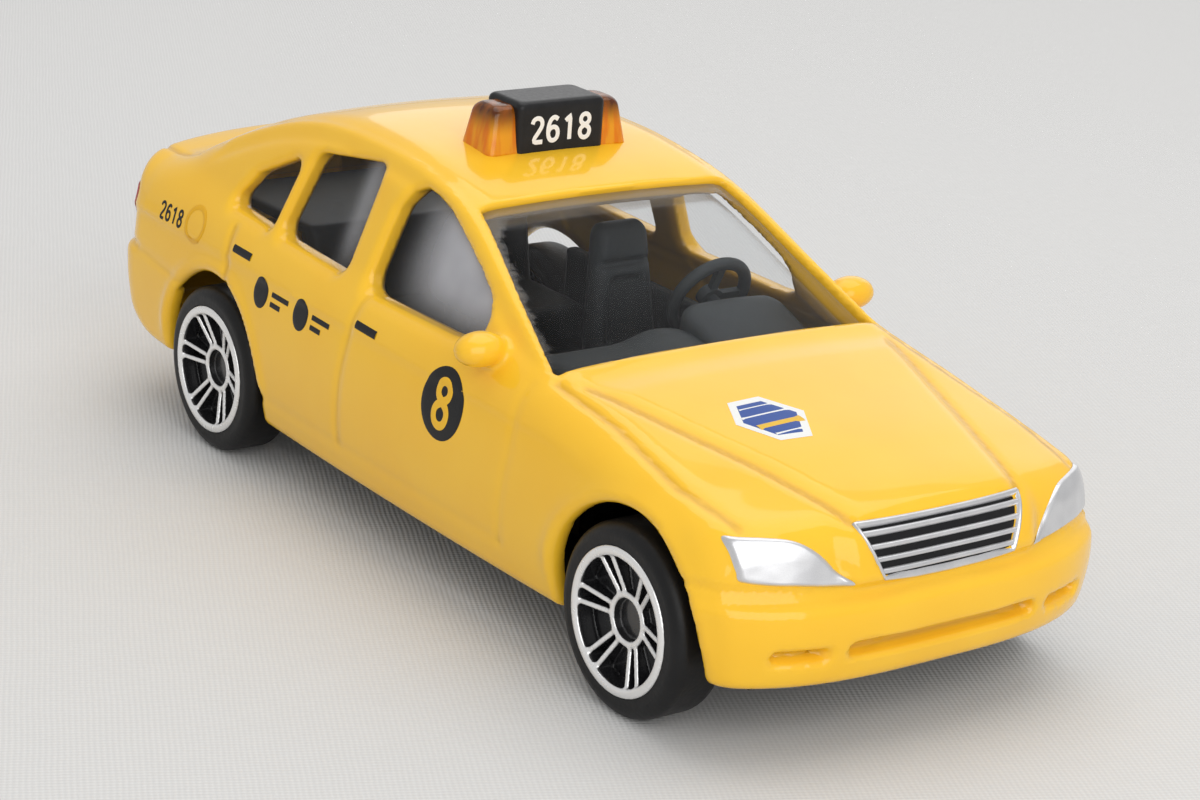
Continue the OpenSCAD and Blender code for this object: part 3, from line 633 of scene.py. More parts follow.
def disc(outline, rings=8):
    """Points and faces that fill an outline from its middle."""
    outline = np.asarray(outline, float)
    middle = outline.mean(0)
    n = len(outline)
    points = [middle[None]]
    for share in np.linspace(0, 1, rings + 1)[1:]:
        points.append(middle + (outline - middle) * share)
    faces = [(0, 1 + i, 1 + (i + 1) % n) for i in range(n)]
    for r in range(rings - 1):
        a, b = 1 + r * n, 1 + (r + 1) * n
        faces += [(a + i, b + i, b + (i + 1) % n, a + (i + 1) % n) for i in range(n)]
    edge = np.zeros(1 + rings * n)
    edge[1 + (rings - 1) * n:] = 1
    return np.concatenate(points), faces, edge


def stroke(points, width, across=3):
    """Points and faces of a band along a line, with its ends cut square."""
    p = np.asarray(points, float)
    fine = [p[0]]
    for a, b in zip(p[:-1], p[1:]):
        count = max(1, int(np.ceil(np.linalg.norm(b - a) / STROKE_STEP)))
        fine += [a + (b - a) * k / count for k in range(1, count + 1)]
    p = np.array(fine)
    way = np.gradient(p, axis=0)
    way = way / np.maximum(np.linalg.norm(way, axis=1), TINY)[:, None]
    side = np.stack([-way[:, 1], way[:, 0]], 1)
    offsets = np.linspace(-0.5, 0.5, across) * width
    points = np.concatenate([p + side * o for o in offsets])
    n = len(p)
    faces = [(k * n + i, k * n + i + 1, (k + 1) * n + i + 1, (k + 1) * n + i)
             for k in range(across - 1) for i in range(n - 1)]
    edge = np.zeros(len(points))
    edge[:n] = edge[-n:] = 1
    return points, faces, edge


def film(name, patches, place, direction, form, material, lift=0.03, rim=0.012):
    """Thin printed or painted patches that lie on a form; their rims have a lift of their own."""
    verts, faces, start = [], [], 0
    for points, patch, edge in patches:
        spots = settle(np.array([place(u, v) for u, v in points]), direction, form)
        normal = slope_of(form, spots)
        normal = normal / np.maximum(np.linalg.norm(normal, axis=1), TINY)[:, None]
        verts.append(spots + normal * np.where(edge > 0, rim, lift)[:, None])
        faces += [tuple(start + i for i in f) for f in patch]
        start += len(points)
    return make_object(name, np.concatenate(verts), faces, material)


# Materials

class Wire:
    """One shader value. Plain arithmetic on it adds Math nodes."""

    def __init__(self, graph, socket):
        self.graph, self.socket = graph, socket

    def __add__(self, other):
        return self.graph.math("ADD", self, other)

    def __sub__(self, other):
        return self.graph.math("SUBTRACT", self, other)

    def __rsub__(self, other):
        return self.graph.math("SUBTRACT", other, self)

    def __mul__(self, other):
        return self.graph.math("MULTIPLY", self, other)

    def __truediv__(self, other):
        return self.graph.math("DIVIDE", self, other)

    def __rtruediv__(self, other):
        return self.graph.math("DIVIDE", other, self)

    def __abs__(self):
        return self.graph.math("ABSOLUTE", self, 0)

    __radd__ = __add__
    __rmul__ = __mul__

    def ramp(self, low, high):
        """0 below low, 1 above high, smooth between them."""
        inputs = {0: self, 1: low, 2: high, 3: 0.0, 4: 1.0}
        return self.graph.node("ShaderNodeMapRange", {"interpolation_type": "SMOOTHSTEP"}, inputs)


class Graph:
    """A material and the few kinds of node that it needs."""

    def __init__(self, name):
        self.material = bpy.data.materials.new(name)
        self.material.use_nodes = True
        self.tree = self.material.node_tree
        self.tree.nodes.clear()

    def node(self, kind, settings=None, inputs=None, output=0):
        """Adds a node, with wires or plain values on its inputs."""
        made = self.tree.nodes.new(kind)
        for key, value in (settings or {}).items():
            setattr(made, key, value)
        for key, value in (inputs or {}).items():
            socket = made.inputs[key]
            if isinstance(value, Wire):
                self.tree.links.new(value.socket, socket)
            elif socket.type == "RGBA":
                socket.default_value = (*value[:3], 1)
            else:
                socket.default_value = value
        return Wire(self, made.outputs[output]) if made.outputs else None

    def math(self, operation, a, b):
        """A Math node."""
        return self.node("ShaderNodeMath", {"operation": operation}, {0: a, 1: b})

    def mix(self, share, a, b):
        """Colour a where share is 0, and b where it is 1."""
        return self.node("ShaderNodeMix", {"data_type": "RGBA"}, {0: share, 6: a, 7: b}, 2)

    def place(self, axis=None):
        """The spot on the object, or one of its coordinates, in metres."""
        spot = self.node("ShaderNodeTexCoord", output=3)
        if axis is None:
            return spot
        return self.node("ShaderNodeSeparateXYZ", None, {0: spot}, axis)

    def noise(self, size, detail=2.0):
        """Even noise whose features are about size millimetres wide."""
        inputs = {"Vector": self.place(), "Scale": 1 / (size * MM), "Detail": detail}
        return self.node("ShaderNodeTexNoise", None, inputs)

    def streaks(self, scale):
        """Noise with its own number of features in a metre along each axis."""
        spot = self.node("ShaderNodeMapping", None, {"Vector": self.place(), "Scale": scale})
        return self.node("ShaderNodeTexNoise", None, {"Vector": spot, "Scale": 1.0, "Detail": 2.0})

    def attribute(self, name):
        """A value that the mesh carries at its points."""
        return self.node("ShaderNodeAttribute", {"attribute_name": name}, None, 2)

    def bump(self, height, depth):
        """Normal of a height field whose full range is depth millimetres."""
        inputs = {"Strength": 1.0, "Distance": depth * MM, "Height": height}
        return self.node("ShaderNodeBump", None, inputs)

    def principled(self, **inputs):
        """A Principled shader; inputs have underscores for spaces."""
        named = {key.replace("_", " "): value for key, value in inputs.items()}
        return self.node("ShaderNodeBsdfPrincipled", None, named)

    def done(self, shader):
        """The material, with this shader on its surface."""
        self.node("ShaderNodeOutputMaterial", None, {"Surface": shader})
        return self.material

    def surface(self, **inputs):
        """The material, with a Principled shader on its surface."""
        return self.done(self.principled(**inputs))


def enamel(colours):
    """Thick gloss enamel: slightly uneven; darker in the engraved lines and bumper recesses, partly
    pooled paint and partly painted shade; darkened on the inside as painted shade.
    """
    g = Graph("yellow_enamel")
    pool = g.attribute("pool")
    base = g.mix(g.noise(6.0).ramp(0.3, 0.7) * 0.35, colours.enamel, colours.enamel_deep)
    # Pooled paint and painted shade: engraved lines and bumper recesses are darkened towards the
    # pooled colour.
    base = g.mix(pool.ramp(0.25, 1.0) * 0.55, base, colours.enamel_pool_and_shade)
    # Painted shade: past the skin depth, on the casting's inside and in the arches, the colour
    # darkens to a third of the deep yellow.
    within = g.attribute("depth").ramp(0.95, 1.3)
    base = g.mix(within, base, [c * 0.3 for c in colours.enamel_deep])
    peel = g.noise(1.4, 1.0) * 0.7 + g.noise(0.35, 1.0) * 0.3
    rough = g.noise(2.5) * 0.08 + 0.2 + within * 0.25
    return g.surface(
        Base_Color=base, Roughness=rough, Specular_IOR_Level=0.12, Normal=g.bump(peel, 0.012),
        Coat_Weight=0.6, Coat_Roughness=0.05)


def glass():
    """Clear moulded sheet with a grey rim, a painted pale reflection on the near side panes and
    faint flow marks.
    """
    g = Graph("clear_glazing")
    rim, veil = g.attribute("rim"), g.attribute("veil")
    flow = g.noise(3.0, 1.0)
    away = g.node("ShaderNodeLayerWeight", None, {"Blend": 0.5}, 1)
    away = away * away
    clear = g.node("ShaderNodeBsdfTransparent", None, {"Color": (0.97, 0.975, 0.98)})
    # Painted reflection: a pale grey mixed over the near side panes.
    base = g.mix(veil, g.mix(rim, (0.4, 0.4, 0.41), (0.24, 0.215, 0.18)), (0.5, 0.5, 0.53))
    solid = g.principled(Base_Color=base, Roughness=rim * 0.15 + 0.05, Normal=g.bump(flow, 0.03))
    share = away * away * 0.5 + rim * (0.25 + flow * 0.35) + veil * (flow * 0.5 + 0.4) + 0.008
    return g.done(g.node("ShaderNodeMixShader", None, {0: share, 1: clear, 2: solid}))


def moulded(name, colour, rough, grain, depth):
    """Moulded plastic with a fine grain."""
    g = Graph(name)
    base = g.mix(g.noise(grain * 6).ramp(0.35, 0.75) * 0.5, colour, [c * 1.6 for c in colour])
    return g.surface(
        Base_Color=base, Roughness=g.noise(grain * 2) * 0.15 + rough, Specular_IOR_Level=0.25,
        Normal=g.bump(g.noise(grain), depth))


def seat_plastic(colour):
    """Moulded plastic of the interior, with painted light and shade: darker low down and towards
    the rear, lighter at the top and front.
    """
    g = Graph("interior_plastic")
    # Painted light and shade: lighter towards the top and front, darker low down and towards the
    # rear, with some noise.
    painted_light_share = g.place(2).ramp(10.5 * MM, 18 * MM) * g.place(0).ramp(-7 * MM, -2 * MM)
    painted_light_share = painted_light_share * (g.noise(1.5) * 0.4 + 0.7)
    base = g.mix(painted_light_share, [c * 0.25 for c in colour], [c * 1.4 for c in colour])
    return g.surface(
        Base_Color=base, Roughness=g.noise(0.4) * 0.15 + 0.45, Specular_IOR_Level=0.2,
        Normal=g.bump(g.noise(0.2), 0.02))


def steel():
    """Drawn wire and screw heads: fine lines across the axle."""
    g = Graph("axle_steel")
    lines = g.streaks((9000, 300, 9000))
    base = g.mix(lines, (0.42, 0.42, 0.43), (0.66, 0.66, 0.68))
    return g.surface(
        Base_Color=base, Metallic=1.0, Roughness=lines * 0.2 + 0.22, Normal=g.bump(lines, 0.01))


def silver_paint():
    """Sprayed silver with fine flakes."""
    g = Graph("silver_paint")
    flakes = g.noise(0.05, 1.0)
    cloud = g.noise(1.6, 1.0).ramp(0.3, 0.7)
    base = g.mix(flakes.ramp(0.3, 0.7) * 0.25 + cloud * 0.4, (0.76, 0.76, 0.77), (0.55, 0.55, 0.57))
    return g.surface(
        Base_Color=base, Metallic=0.8, Roughness=flakes * 0.1 + 0.27, Normal=g.bump(cloud, 0.01),
        Coat_Weight=0.5)


def print_ink(name, colour):
    """Pad-printed ink, a little thin in places."""
    g = Graph(name)
    thin = [min(1, c * 1.5 + 0.02) for c in colour]
    base = g.mix(g.noise(0.12).ramp(0.55, 0.8) * 0.25, colour, thin)
    return g.surface(
        Base_Color=base, Roughness=g.noise(0.3) * 0.15 + 0.3, Specular_IOR_Level=0.2,
        Normal=g.bump(g.noise(0.1), 0.006), Coat_Weight=0.05)


def rim_plastic():
    """Gloss black with hot foil on the faces that stand out."""
    g = Graph("rim_plastic")
    normal = g.node("ShaderNodeNewGeometry", output=1)
    facing = abs(g.node("ShaderNodeSeparateXYZ", None, {0: normal}, 1)).ramp(0.25, 0.5)
    foil = facing * g.attribute("level").ramp(*FOIL_LEVEL) * g.noise(0.6).ramp(0.1, 0.25)
    base = g.mix(foil, (0.012, 0.012, 0.013), (0.84, 0.835, 0.83))
    return g.surface(
        Base_Color=base, Metallic=foil * 0.6, Roughness=g.noise(0.5) * 0.12 + 0.2,
        Normal=g.bump(g.noise(0.4), 0.01), Coat_Weight=0.4)


def amber_lens(colours):
    """Clear amber moulding, browner towards its upper edges."""
    g = Graph("amber_lens")
    up = g.place(2).ramp(25.7 * MM, 27.5 * MM)
    streak = g.streaks((1500, 1500, 250))
    base = g.mix(streak.ramp(0.4, 0.65), colours.amber, (1.0, 0.42, 0.012))
    base = g.mix(up * (streak * 0.9 + 0.45), base, (0.11, 0.026, 0.003))
    return g.surface(
        Base_Color=base, Roughness=streak * 0.1 + 0.05, Normal=g.bump(streak, 0.03),
        Transmission_Weight=0.25, Specular_IOR_Level=0.3)


def floor_cloth(colours):
    """Pale floor with a faint weave."""
    g = Graph("floor_cloth")
    turns = 2 * math.pi / (0.46 * MM)
    along = (g.place(0) * 0.94 + g.place(1) * 0.34) * turns + g.noise(8.0) * 5
    across = (g.place(1) * 0.94 - g.place(0) * 0.34) * turns + g.noise(9.0) * 5
    weave = g.math("SINE", along, 0) * g.math("SINE", across, 0) * 0.5 + 0.5
    pale = colours.floor
    base = g.mix(g.noise(2.0).ramp(0.3, 0.7) * 0.3, pale, [c * 0.97 for c in pale])
    base = g.mix(weave * 0.5, base, [c * 0.82 for c in pale])
    return g.surface(
        Base_Color=base, Roughness=0.95, Specular_IOR_Level=0.1, Normal=g.bump(weave, 0.04))


# Settings

class TaxiColours(bpy.types.PropertyGroup):
    """Colours of the taxi and its floor."""
    enamel: FloatVectorProperty(
        name="Enamel", description="Yellow of the casting", default=(0.94, 0.545, 0.03),
        subtype="COLOR")
    enamel_deep: FloatVectorProperty(
        name="Deep enamel", description="Yellow where the paint is thick",
        default=(0.9, 0.475, 0.016), subtype="COLOR")
    # Pooled paint and painted shade in the engraved lines and bumper recesses.
    enamel_pool_and_shade: FloatVectorProperty(
        name="Pooled enamel", description="Paint in the engraved lines",
        default=(0.42, 0.19, 0.003), subtype="COLOR")
    interior: FloatVectorProperty(
        name="Interior", description="Dark grey of the seats and dashboard",
        default=(0.03, 0.034, 0.036), subtype="COLOR")
    amber: FloatVectorProperty(
        name="Amber", description="Roof sign lens", default=(0.9, 0.25, 0.004), subtype="COLOR")
    floor: FloatVectorProperty(
        name="Floor", description="Pale cloth under the car", default=(0.71, 0.705, 0.695),
        subtype="COLOR")


class TaxiSizes(bpy.types.PropertyGroup):
    """Fineness of the meshes and thickness of the print."""
    skin_step: FloatProperty(
        name="Skin step", description="Mesh width on the casting", default=0.0003,
        unit="LENGTH", precision=5)
    glass_step: FloatProperty(
        name="Glass step", description="Mesh width on the glazing", default=0.0004,
        unit="LENGTH", precision=5)
    print_lift: FloatProperty(
        name="Print lift", description="Thickness of printed films", default=0.00003,
        unit="LENGTH", precision=6)


class TaxiStage(bpy.types.PropertyGroup):
    """Camera and light."""
    eye: FloatVectorProperty(
        name="Camera place", description="Where the camera stands",
        default=(0.144713, -0.106152, 0.070449), unit="LENGTH")
    aim: FloatVectorProperty(
        name="Camera aim", description="Point in the middle of the picture",
        default=(0.003934, 0.0, 0.009452), unit="LENGTH")
    roll: FloatProperty(
        name="Camera roll", description="Turn about the line of sight",
        default=math.radians(4.2127), subtype="ANGLE")
    lens: FloatProperty(
        name="Lens", description="Focal length in millimetres", default=86.38)
    key_power: FloatProperty(
        name="Key light", description="Power of the soft light above", default=0.46, unit="POWER")
    front_power: FloatProperty(
        name="Front light", description="Power of the soft light ahead", default=0.7, unit="POWER")
    back_power: FloatProperty(
        name="Back light", description="Power of the soft light behind", default=0.22, unit="POWER")
    sky: FloatProperty(name="Sky", description="Strength of the even light", default=0.6)


class Build:
    """Shared by the operators: settings and how a piece is finished."""

    def settings(self, context):
        """Colours, sizes and stage of the scene."""
        scene = context.scene
        return scene.taxi_colours, scene.taxi_sizes, scene.taxi_stage

    def finish(self, piece, body, slot, *nodes):
        """Ties a piece to its body and hides the nodes that it stands for; the slot is not used."""
        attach(piece, body)
        if nodes:
            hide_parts(*nodes)

    def printed(self, name, slot, *layout):
        """A film on the car."""
        self.finish(film(name, *layout), CAR, slot)


def paint_node(name, material):
    """Gives a carried-over node its material."""
    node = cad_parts[name]
    node.data.materials.clear()
    node.data.materials.append(material)


class TAXI_OT_body(Build, bpy.types.Operator):
    """Casting with its openings, engraved lines and inside."""
    bl_idname = "taxi.body"
    bl_label = "Body shell"

    def execute(self, context):
        colours, sizes, _ = self.settings(context)
        step = sizes.skin_step / MM
        step = step
        verts, quads = net(casting, (-38.9, 0, 3.0), (38.9, 16.6, 25.8), step)
        depth = -outside(*verts.T)
        # Engraved lines and bumper recesses, which carry pooled paint and painted shade in the
        # enamel.
        pool = creases(*verts.T) + 0.8 * bumper_slots(*verts.T)
        both, faces = mirrored(verts, quads)
        marks = {"pool": np.tile(pool, 2), "depth": np.tile(depth, 2)}
        skin = marks["depth"][faces].mean(1) < SKIN_DEPTH
        paint = enamel(colours)
        shell = make_object("body_skin", both, faces[skin], paint, attributes=marks)
        self.finish(shell, CAR, "yellow_enamel", "body_shell")
        inner = make_object("body_inside", both, faces[~skin], paint, attributes=marks)
        self.finish(inner, CAR, "yellow_enamel")
        return {"FINISHED"}


class TAXI_OT_glazing(Build, bpy.types.Operator):
    """Clear insert behind all the window openings."""
    bl_idname = "taxi.glazing"
    bl_label = "Window glazing"

    def execute(self, context):
        _, sizes, _ = self.settings(context)
        step = sizes.glass_step / MM
        verts, quads = net(glass_sheet, (-34.5, 0, 14.8), (18.2, 14.6, 25.4), step, 2)
        x, y, z = verts.T
        up, _ = on_screen(SCREEN_LINE, x, z)
        on_side = ease(rail_line(x, y, z), -0.6, 0.2)
        edge = 0.35 + 0.75 * ease(up, 11.5, 13)
        rim = 1 - ease(-outline_distance(SCREEN, y, up) / edge, 0.75, 1.15)
        rim = rim * ease(up, 0.6, 3.5) * (x > 0) * (1 - on_side)
        # Painted reflection on the near side panes: broad on the front door pane, a narrow band on
        # the rear door pane; only the mirrored near half carries it.
        veil = ease(x, -2.5, 3.5) + 0.5 * bell(x + 7.8, 0.9)
        veil = veil * on_side * ease(y, 8.5, 9.5) * (1 - ease(x, 8.5, 9.5)) * ease(z, 15.5, 19)
        marks = {"rim": np.tile(rim, 2), "veil": np.concatenate([0 * veil, veil])}
        piece = make_object("window_panes", *mirrored(verts, quads), glass(), attributes=marks)
        self.finish(piece, CAR, "clear_glazing", "window_glazing")
        return {"FINISHED"}


class TAXI_OT_front(Build, bpy.types.Operator):
    """Painted grille, headlamps and tail lamps."""
    bl_idname = "taxi.front"
    bl_label = "Lamps and grille"

    BARS = (10.95, 11.63, 12.34, 13.05)
    BAR_WIDTH, FRAME_WIDTH = 0.34, 0.22
    SUNK, BURIED = -0.28, -0.3

    def execute(self, context):
        silver = silver_paint()
        black = print_ink("grille_black", (0.008, 0.008, 0.009))
        red = print_ink("tail_lamp_red", (0.45, 0.012, 0.01))
        ahead = (-1, 0, 0)

        def front(u, v):
            return 36.0, u, v

        field = [disc(straight_loop(GRILLE, 6), 10)]
        bars = []
        for height in self.BARS:
            half = 4.9 + 0.44 * (height - 10.6)
            bars.append(stroke([(-half, height), (half, height)], self.BAR_WIDTH, 5))
        edge = [stroke(GRILLE + GRILLE[:1], self.FRAME_WIDTH, 5)]
        for name, slot, patches, paint, lift, rim in (
                ("grille_back", "sign_plastic", field, black, self.SUNK, self.SUNK),
                ("grille_bars", "rim_plastic", bars, silver, -0.04, self.BURIED),
                ("grille_frame", "rim_plastic", edge, silver, 0.09, self.BURIED)):
            self.printed(name, slot, patches, front, ahead, plain_front, paint, lift, rim)
        for side, word in SIDES:
            def corner(u, v, side=side):
                return 34.0 - 0.55 * (u - 7), side * u, v

            def behind(u, v, side=side):
                return -37.0 + float(corner_drop(u, *TAIL_CORNER)), side * u, v

            lamp = [disc(smooth_loop(LAMP), 12)], corner, ahead, plain_front
            self.printed("headlamp_" + word, "rim_plastic", *lamp, silver, 0.22, 0.03)
            lamp = [disc(smooth_loop(TAIL_LAMP))], behind, (1, -0.8 * side, 0), plain_front
            self.printed("tail_lamp_" + word, "yellow_enamel", *lamp, red, 0.08)
        return {"FINISHED"}


class TAXI_OT_markings(Build, bpy.types.Operator):
    """Printed handles, door marks, numbers and hood badge."""
    bl_idname = "taxi.markings"
    bl_label = "Printed markings"

    DIGITS = {
        "1": [(0.1, 0.78), (0.34, 1), (0.34, 0)],
        "2": [(0.03, 0.76), (0.1, 0.93), (0.3, 1), (0.5, 0.93), (0.57, 0.74), (0.48, 0.53),
              (0.03, 0), (0.6, 0)],
        "6": [(0.54, 0.88), (0.34, 1), (0.14, 0.88), (0.04, 0.6), (0.03, 0.3), (0.12, 0.07),
              (0.3, 0), (0.5, 0.08), (0.57, 0.3), (0.5, 0.52), (0.3, 0.59), (0.1, 0.5),
              (0.04, 0.34)],
        "8": [(0.3, 0.54), (0.1, 0.64), (0.06, 0.8), (0.14, 0.95), (0.3, 1), (0.46, 0.95),
              (0.54, 0.8), (0.5, 0.64), (0.3, 0.54), (0.08, 0.42), (0.03, 0.24), (0.12, 0.06),
              (0.3, 0), (0.48, 0.06), (0.57, 0.24), (0.52, 0.42), (0.3, 0.54)],
    }
    FLEET, DOOR = "2618", "8"
    PITCH, DIGIT_WIDTH, PEN = 0.78, 0.92, 0.19
    HANDLES = ([(-19.1, 15.0), (-16.7, 14.95)], [(-2.8, 14.5), (-0.35, 14.45)])
    PLAQUE = [(23.3, -5.4), (23.3, -3.1), (25.7, -1.6), (28.4, -3.1), (28.1, -5.2), (25.6, -6.5)]
    BADGE_WHITE, BADGE_BLUE, BADGE_GOLD = (0.8, 0.8, 0.78), (0.02, 0.07, 0.3), (0.75, 0.45, 0.03)

    @classmethod
    def number(cls, word, u, v, height, flip=1):
        """Strokes of a number whose lower left corner is at u, v."""
        patches = []
        for i, letter in enumerate(word):
            line = np.array(cls.DIGITS[letter])
            for _ in range(2 if len(line) > 3 else 0):
                pairs = zip(line[:-1], line[1:])
                cut = [[0.75 * a + 0.25 * b, 0.25 * a + 0.75 * b] for a, b in pairs]
                line = np.concatenate([line[:1], *cut, line[-1:]])
            spots = [(u + flip * height * (a * cls.DIGIT_WIDTH + i * cls.PITCH), v + height * b)
                     for a, b in line]
            patches.append(stroke(spots, height * cls.PEN))
        return patches

    def flank_marks(self, side, word, lift, black, yellow):
        """Print on one side of the car."""
        def door(u, v):
            return u, side * 14.0, v

        flip = -side
        handles = [stroke(line, 0.5, 5) for line in self.HANDLES]
        roundel = [disc(oval(8.0, 12.7, 2.2, 2.25), 9)]
        digit = self.number(self.DOOR, 8.0 - flip * 0.77, 11.3, 2.8, flip)
        marks = []
        for u in (-14.6, -9.3):
            marks.append(disc(oval(u, 13.2, 0.92, 1.05), 6))
            marks.append(stroke([(u + 1.4, 13.45), (u + 3.6, 13.42)], 0.34, 3))
            marks.append(stroke([(u + 1.4, 12.8), (u + 2.7, 12.78)], 0.34, 3))
        fleet = self.number(self.FLEET, -29.7 if flip > 0 else -26.4, 14.4, 1.1, flip)
        for name, slot, patches, ink, *heights in (
                ("door_handles_", "sign_plastic", handles, black, 0.06),
                ("door_roundel_", "sign_plastic", roundel, black, lift),
                ("door_number_", "yellow_enamel", digit, yellow, 2.5 * lift, 1.2 * lift),
                ("door_marks_", "sign_plastic", marks, black, lift),
                ("fender_number_", "sign_plastic", fleet, black, lift)):
            self.printed(name + word, slot, patches, door, (0, -side, 0), outside, ink, *heights)

    def hood_badge(self):
        """A bare plaque with stripes."""
        def hood(u, v):
            return u, v, 16.0

        def bar(u, low, high, width, across=3):
            return stroke([(u, low), (u, high)], width, across)

        plaque, centre = straight_loop(self.PLAQUE, 8), np.mean(self.PLAQUE, axis=0)
        inner = centre + (plaque - centre) * 0.84
        lines = [bar(25.2, -5.8, -2.3, 0.35), bar(24.3, -5.3, -3.0, 0.25),
                 bar(27.4, -5.0, -3.0, 0.3)]
        for name, colour, patches, height in (
                ("badge_rim", self.BADGE_WHITE, [disc(plaque, 5)], 0.02),
                ("badge_field", self.BADGE_BLUE, [disc(inner, 5)], 0.035),
                ("badge_stripe", self.BADGE_GOLD, [bar(26.4, -5.5, -2.3, 0.75, 4)], 0.05),
                ("badge_lines", self.BADGE_WHITE, lines, 0.05)):
            ink = print_ink(name, colour)
            self.printed(name, "sign_plastic", patches, hood, (0, 0, -1), outside, ink, height)

    def filler_flap(self):
        """Round line of the filler flap, on the car's right only: a darker yellow ring for an
        engraved line, partly pooled paint and partly painted shade.
        """
        def fender(u, v):
            return u, -14.0, v

        loop = oval(-24.7, 15.1, 1.2, 1.15, 39)
        ring = stroke(np.concatenate([loop, loop[:1]]), 0.34, 5)
        # Pooled paint and painted shade: the ring is a darker yellow than the enamel.
        ink = print_ink("filler_line", (0.8, 0.42, 0.012))
        self.printed("filler_flap", "yellow_enamel", [ring], fender, (0, 1, 0), outside, ink)

    def execute(self, context):
        _, sizes, _ = self.settings(context)
        black = print_ink("black_print", (0.01, 0.01, 0.011))
        yellow = print_ink("yellow_print", (0.88, 0.5, 0.03))
        for side, word in SIDES:
            self.flank_marks(side, word, sizes.print_lift / MM, black, yellow)
        self.hood_badge()
        self.filler_flap()
        return {"FINISHED"}


class TAXI_OT_sign(Build, bpy.types.Operator):
    """Roof sign: amber lens, black saddle and white number."""
    bl_idname = "taxi.sign"
    bl_label = "Roof sign"

    @staticmethod
    def block(low, high, lean, slant, bevel):
        """Form of a block between two corners, whose ends and faces draw in towards its top."""
        middle, half = (low + high) / 2, (high - low) / 2

        def form(x, y, z):
            up = (z - low[2]) / (high[2] - low[2])
            ends = np.abs(y) - half[1] + lean * up
            f = smax(ends, np.abs(x - middle[0]) - half[0] + slant * up, bevel)
            return np.maximum(smax(f, z - high[2], bevel), low[2] - z)

        return form

    def execute(self, context):
        colours, _, _ = self.settings(context)
        cover_low, cover_high = [np.array(c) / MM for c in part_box("roof_sign_cover")]
        lens_low, lens_high = [np.array(c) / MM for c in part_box("roof_sign_lens")]
        lens_low[2] = cover_low[2]
        amber = amber_lens(colours)
        black = moulded("sign_plastic", (0.012, 0.012, 0.013), 0.25, 0.15, 0.01)
        for name, slot, material, low, high, *shape in (
                ("sign_lens", "amber_lens", amber, lens_low, lens_high, 0.55, 0.45, 0.7),
                ("sign_cover", "sign_plastic", black, cover_low, cover_high, 0, 0, 0.5)):
            verts, quads = net(self.block(low, high, *shape), low - 0.3, high + 0.3, 0.1)
            piece = make_object(name, *mirrored(verts, quads), material)
            self.finish(piece, CAR, slot, "roof_" + name)
        white = print_ink("white_print", (0.85, 0.85, 0.84))
        face = cover_high[0]

        def flat(x, y, z):
            return x - face

        def front(u, v):
            return face, u, v

        digits = TAXI_OT_markings.number(TAXI_OT_markings.FLEET, -2.4, cover_low[2] + 0.75, 1.6)
        self.printed("sign_number", "sign_plastic", digits, front, (-1, 0, 0), flat, white)
        return {"FINISHED"}


class TAXI_OT_interior(Build, bpy.types.Operator):
    """Seats, dashboard and steering wheel."""
    bl_idname = "taxi.interior"
    bl_label = "Interior"

    def execute(self, context):
        colours, _, _ = self.settings(context)
        material = seat_plastic(colours.interior)
        paint_node("steering_wheel", material)
        step = 0.28
        mesh = mirrored(*net(interior, (-31, 0, 6.2), (16.5, 10.9, 20.8), step, 2))
        piece = make_object("seats_and_dash", *mesh, material)
        self.finish(piece, CAR, "interior_plastic", "interior_tub")
        mesh = net(instrument_hood, (7.6, 0, 12.8), (14.4, 9.9, 17.4), 0.2, 2)
        piece = make_object("instrument_hood", *mesh, material)
        self.finish(piece, CAR, "interior_plastic")
        return {"FINISHED"}


class TAXI_OT_wheels(Build, bpy.types.Operator):
    """Rims and tyres."""
    bl_idname = "taxi.wheels"
    bl_label = "Wheels"

    INNER_Y = 11.0

    def execute(self, context):
        rim = rim_plastic()
        tyre = moulded("tyre_plastic", (0.007, 0.007, 0.0075), 0.36, 0.3, 0.015)

        def shifted(x, y, z):
            return wheel_centre(x, y + self.INNER_Y, z)

        step = 0.12
        verts, quads = net(shifted, (-4.6, 0, -4.6), (4.6, 4.3, 4.6), step, 2)
        verts = verts + [0, self.INNER_Y, 0]
        level = verts[:, 1] + dish(np.hypot(verts[:, 0], verts[:, 2]))
        for end, axle in zip(("front", "rear"), AXLES):
            for sign, side in SIDES:
                spots = verts * [1, sign, 1] + [axle, 0, WHEEL_Z]
                piece = make_object(f"{end}_{side}_wheel", spots, quads[:, ::sign], rim,
                                    attributes={"level": level})
                self.finish(piece, f"{end}_wheels", "rim_plastic", f"{end}_{side}_rim")
                paint_node(f"{end}_{side}_tyre", tyre)
        return {"FINISHED"}


class TAXI_OT_underside(Build, bpy.types.Operator):
    """Base plate, axles and screws."""
    bl_idname = "taxi.underside"
    bl_label = "Underside"

    def execute(self, context):
        base = moulded("base_plastic", (0.015, 0.015, 0.016), 0.5, 0.2, 0.03)
        paint_node("base_plate", base)
        wire = steel()
        for name in ("front_axle", "rear_axle", "front_base_screw", "rear_base_screw"):
            paint_node(name, wire)
        return {"FINISHED"}


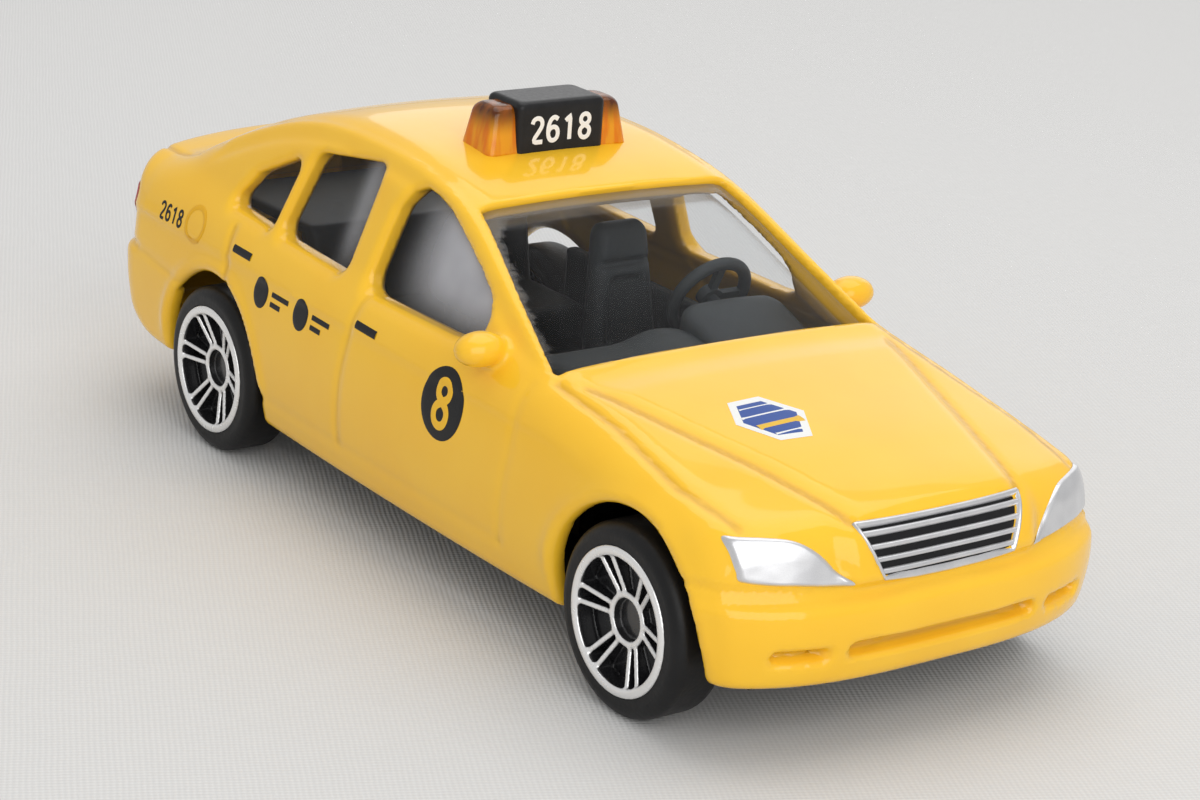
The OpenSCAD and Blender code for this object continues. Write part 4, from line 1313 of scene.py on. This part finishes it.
class TAXI_OT_stage(Build, bpy.types.Operator):
    """Camera, pale floor and soft light."""
    bl_idname = "taxi.stage"
    bl_label = "Stage"

    SQUARE, FLOOR_HALF = ((-1, -1), (1, -1), (1, 1), (-1, 1)), 900.0
    LIGHTS = {"key": (-0.04, 0.07, 0.34), "front": (0.32, -0.12, 0.18), "back": (-0.26, 0.3, 0.22)}
    LIGHT_SIZE, LIGHT_AIM = (0.35, 0.3), (0, 0, 0.01)
    SENSOR, CLIP = 36, 0.005

    def soft_light(self, scene, name, power, place):
        """A large even light that faces the car."""
        lamp = bpy.data.lights.new(name, "AREA")
        lamp.shape = "RECTANGLE"
        lamp.size, lamp.size_y = self.LIGHT_SIZE
        lamp.energy = power
        light = bpy.data.objects.new(name, lamp)
        light.location = place
        aim = Vector(self.LIGHT_AIM) - Vector(place)
        light.rotation_euler = aim.to_track_quat("-Z", "Y").to_euler()
        scene.collection.objects.link(light)

    def execute(self, context):
        colours, _, stage = self.settings(context)
        scene = context.scene
        scene.view_settings.view_transform = "Standard"
        camera = bpy.data.cameras.new("camera")
        camera.lens = stage.lens
        camera.sensor_width = self.SENSOR
        camera.clip_start = self.CLIP
        viewer = bpy.data.objects.new("camera", camera)
        eye, aim = Vector(stage.eye), Vector(stage.aim)
        turn = (aim - eye).to_track_quat("-Z", "Y").to_matrix().to_4x4()
        viewer.matrix_world = Matrix.Translation(eye) @ turn @ Matrix.Rotation(stage.roll, 4, "Z")
        scene.collection.objects.link(viewer)
        scene.camera = viewer
        corners = [(u * self.FLOOR_HALF, v * self.FLOOR_HALF, 0) for u, v in self.SQUARE]
        floor = make_object("floor", corners, [(0, 1, 2, 3)], floor_cloth(colours), smooth=False)
        for name, place in self.LIGHTS.items():
            self.soft_light(scene, name + "_light", getattr(stage, name + "_power"), place)
        world = bpy.data.worlds.new("studio")
        world.use_nodes = True
        sky = world.node_tree.nodes["Background"]
        sky.inputs["Color"].default_value = (1, 1, 1, 1)
        sky.inputs["Strength"].default_value = stage.sky
        scene.world = world
        return {"FINISHED"}


class TAXI_PT_panel(bpy.types.Panel):
    """Settings and build steps in the sidebar."""
    bl_idname = "TAXI_PT_panel"
    bl_label = "Toy taxi"
    bl_space_type = "VIEW_3D"
    bl_region_type = "UI"
    bl_category = "Taxi"

    def draw(self, context):
        scene = context.scene
        for group in (scene.taxi_colours, scene.taxi_sizes, scene.taxi_stage):
            for key in group.__annotations__:
                self.layout.prop(group, key)
        for step in STEPS:
            self.layout.operator(step.bl_idname)


STEPS = (
    TAXI_OT_stage, TAXI_OT_body, TAXI_OT_glazing, TAXI_OT_interior, TAXI_OT_front, TAXI_OT_markings,
    TAXI_OT_sign, TAXI_OT_wheels, TAXI_OT_underside,
)
GROUPS = {"taxi_colours": TaxiColours, "taxi_sizes": TaxiSizes, "taxi_stage": TaxiStage}


def register():
    """Adds the settings, operators and panel."""
    for group in GROUPS.values():
        bpy.utils.register_class(group)
    for name, group in GROUPS.items():
        setattr(bpy.types.Scene, name, PointerProperty(type=group))
    for step in STEPS:
        bpy.utils.register_class(step)
    bpy.utils.register_class(TAXI_PT_panel)


def unregister():
    """Takes them out again."""
    bpy.utils.unregister_class(TAXI_PT_panel)
    for step in reversed(STEPS):
        bpy.utils.unregister_class(step)
    for name, group in GROUPS.items():
        delattr(bpy.types.Scene, name)
        bpy.utils.unregister_class(group)


def main():
    """Builds everything."""
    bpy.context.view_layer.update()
    register()
    for step in STEPS:
        group, name = step.bl_idname.split(".")
        getattr(getattr(bpy.ops, group), name)()


if __name__ == "__main__":
    main()
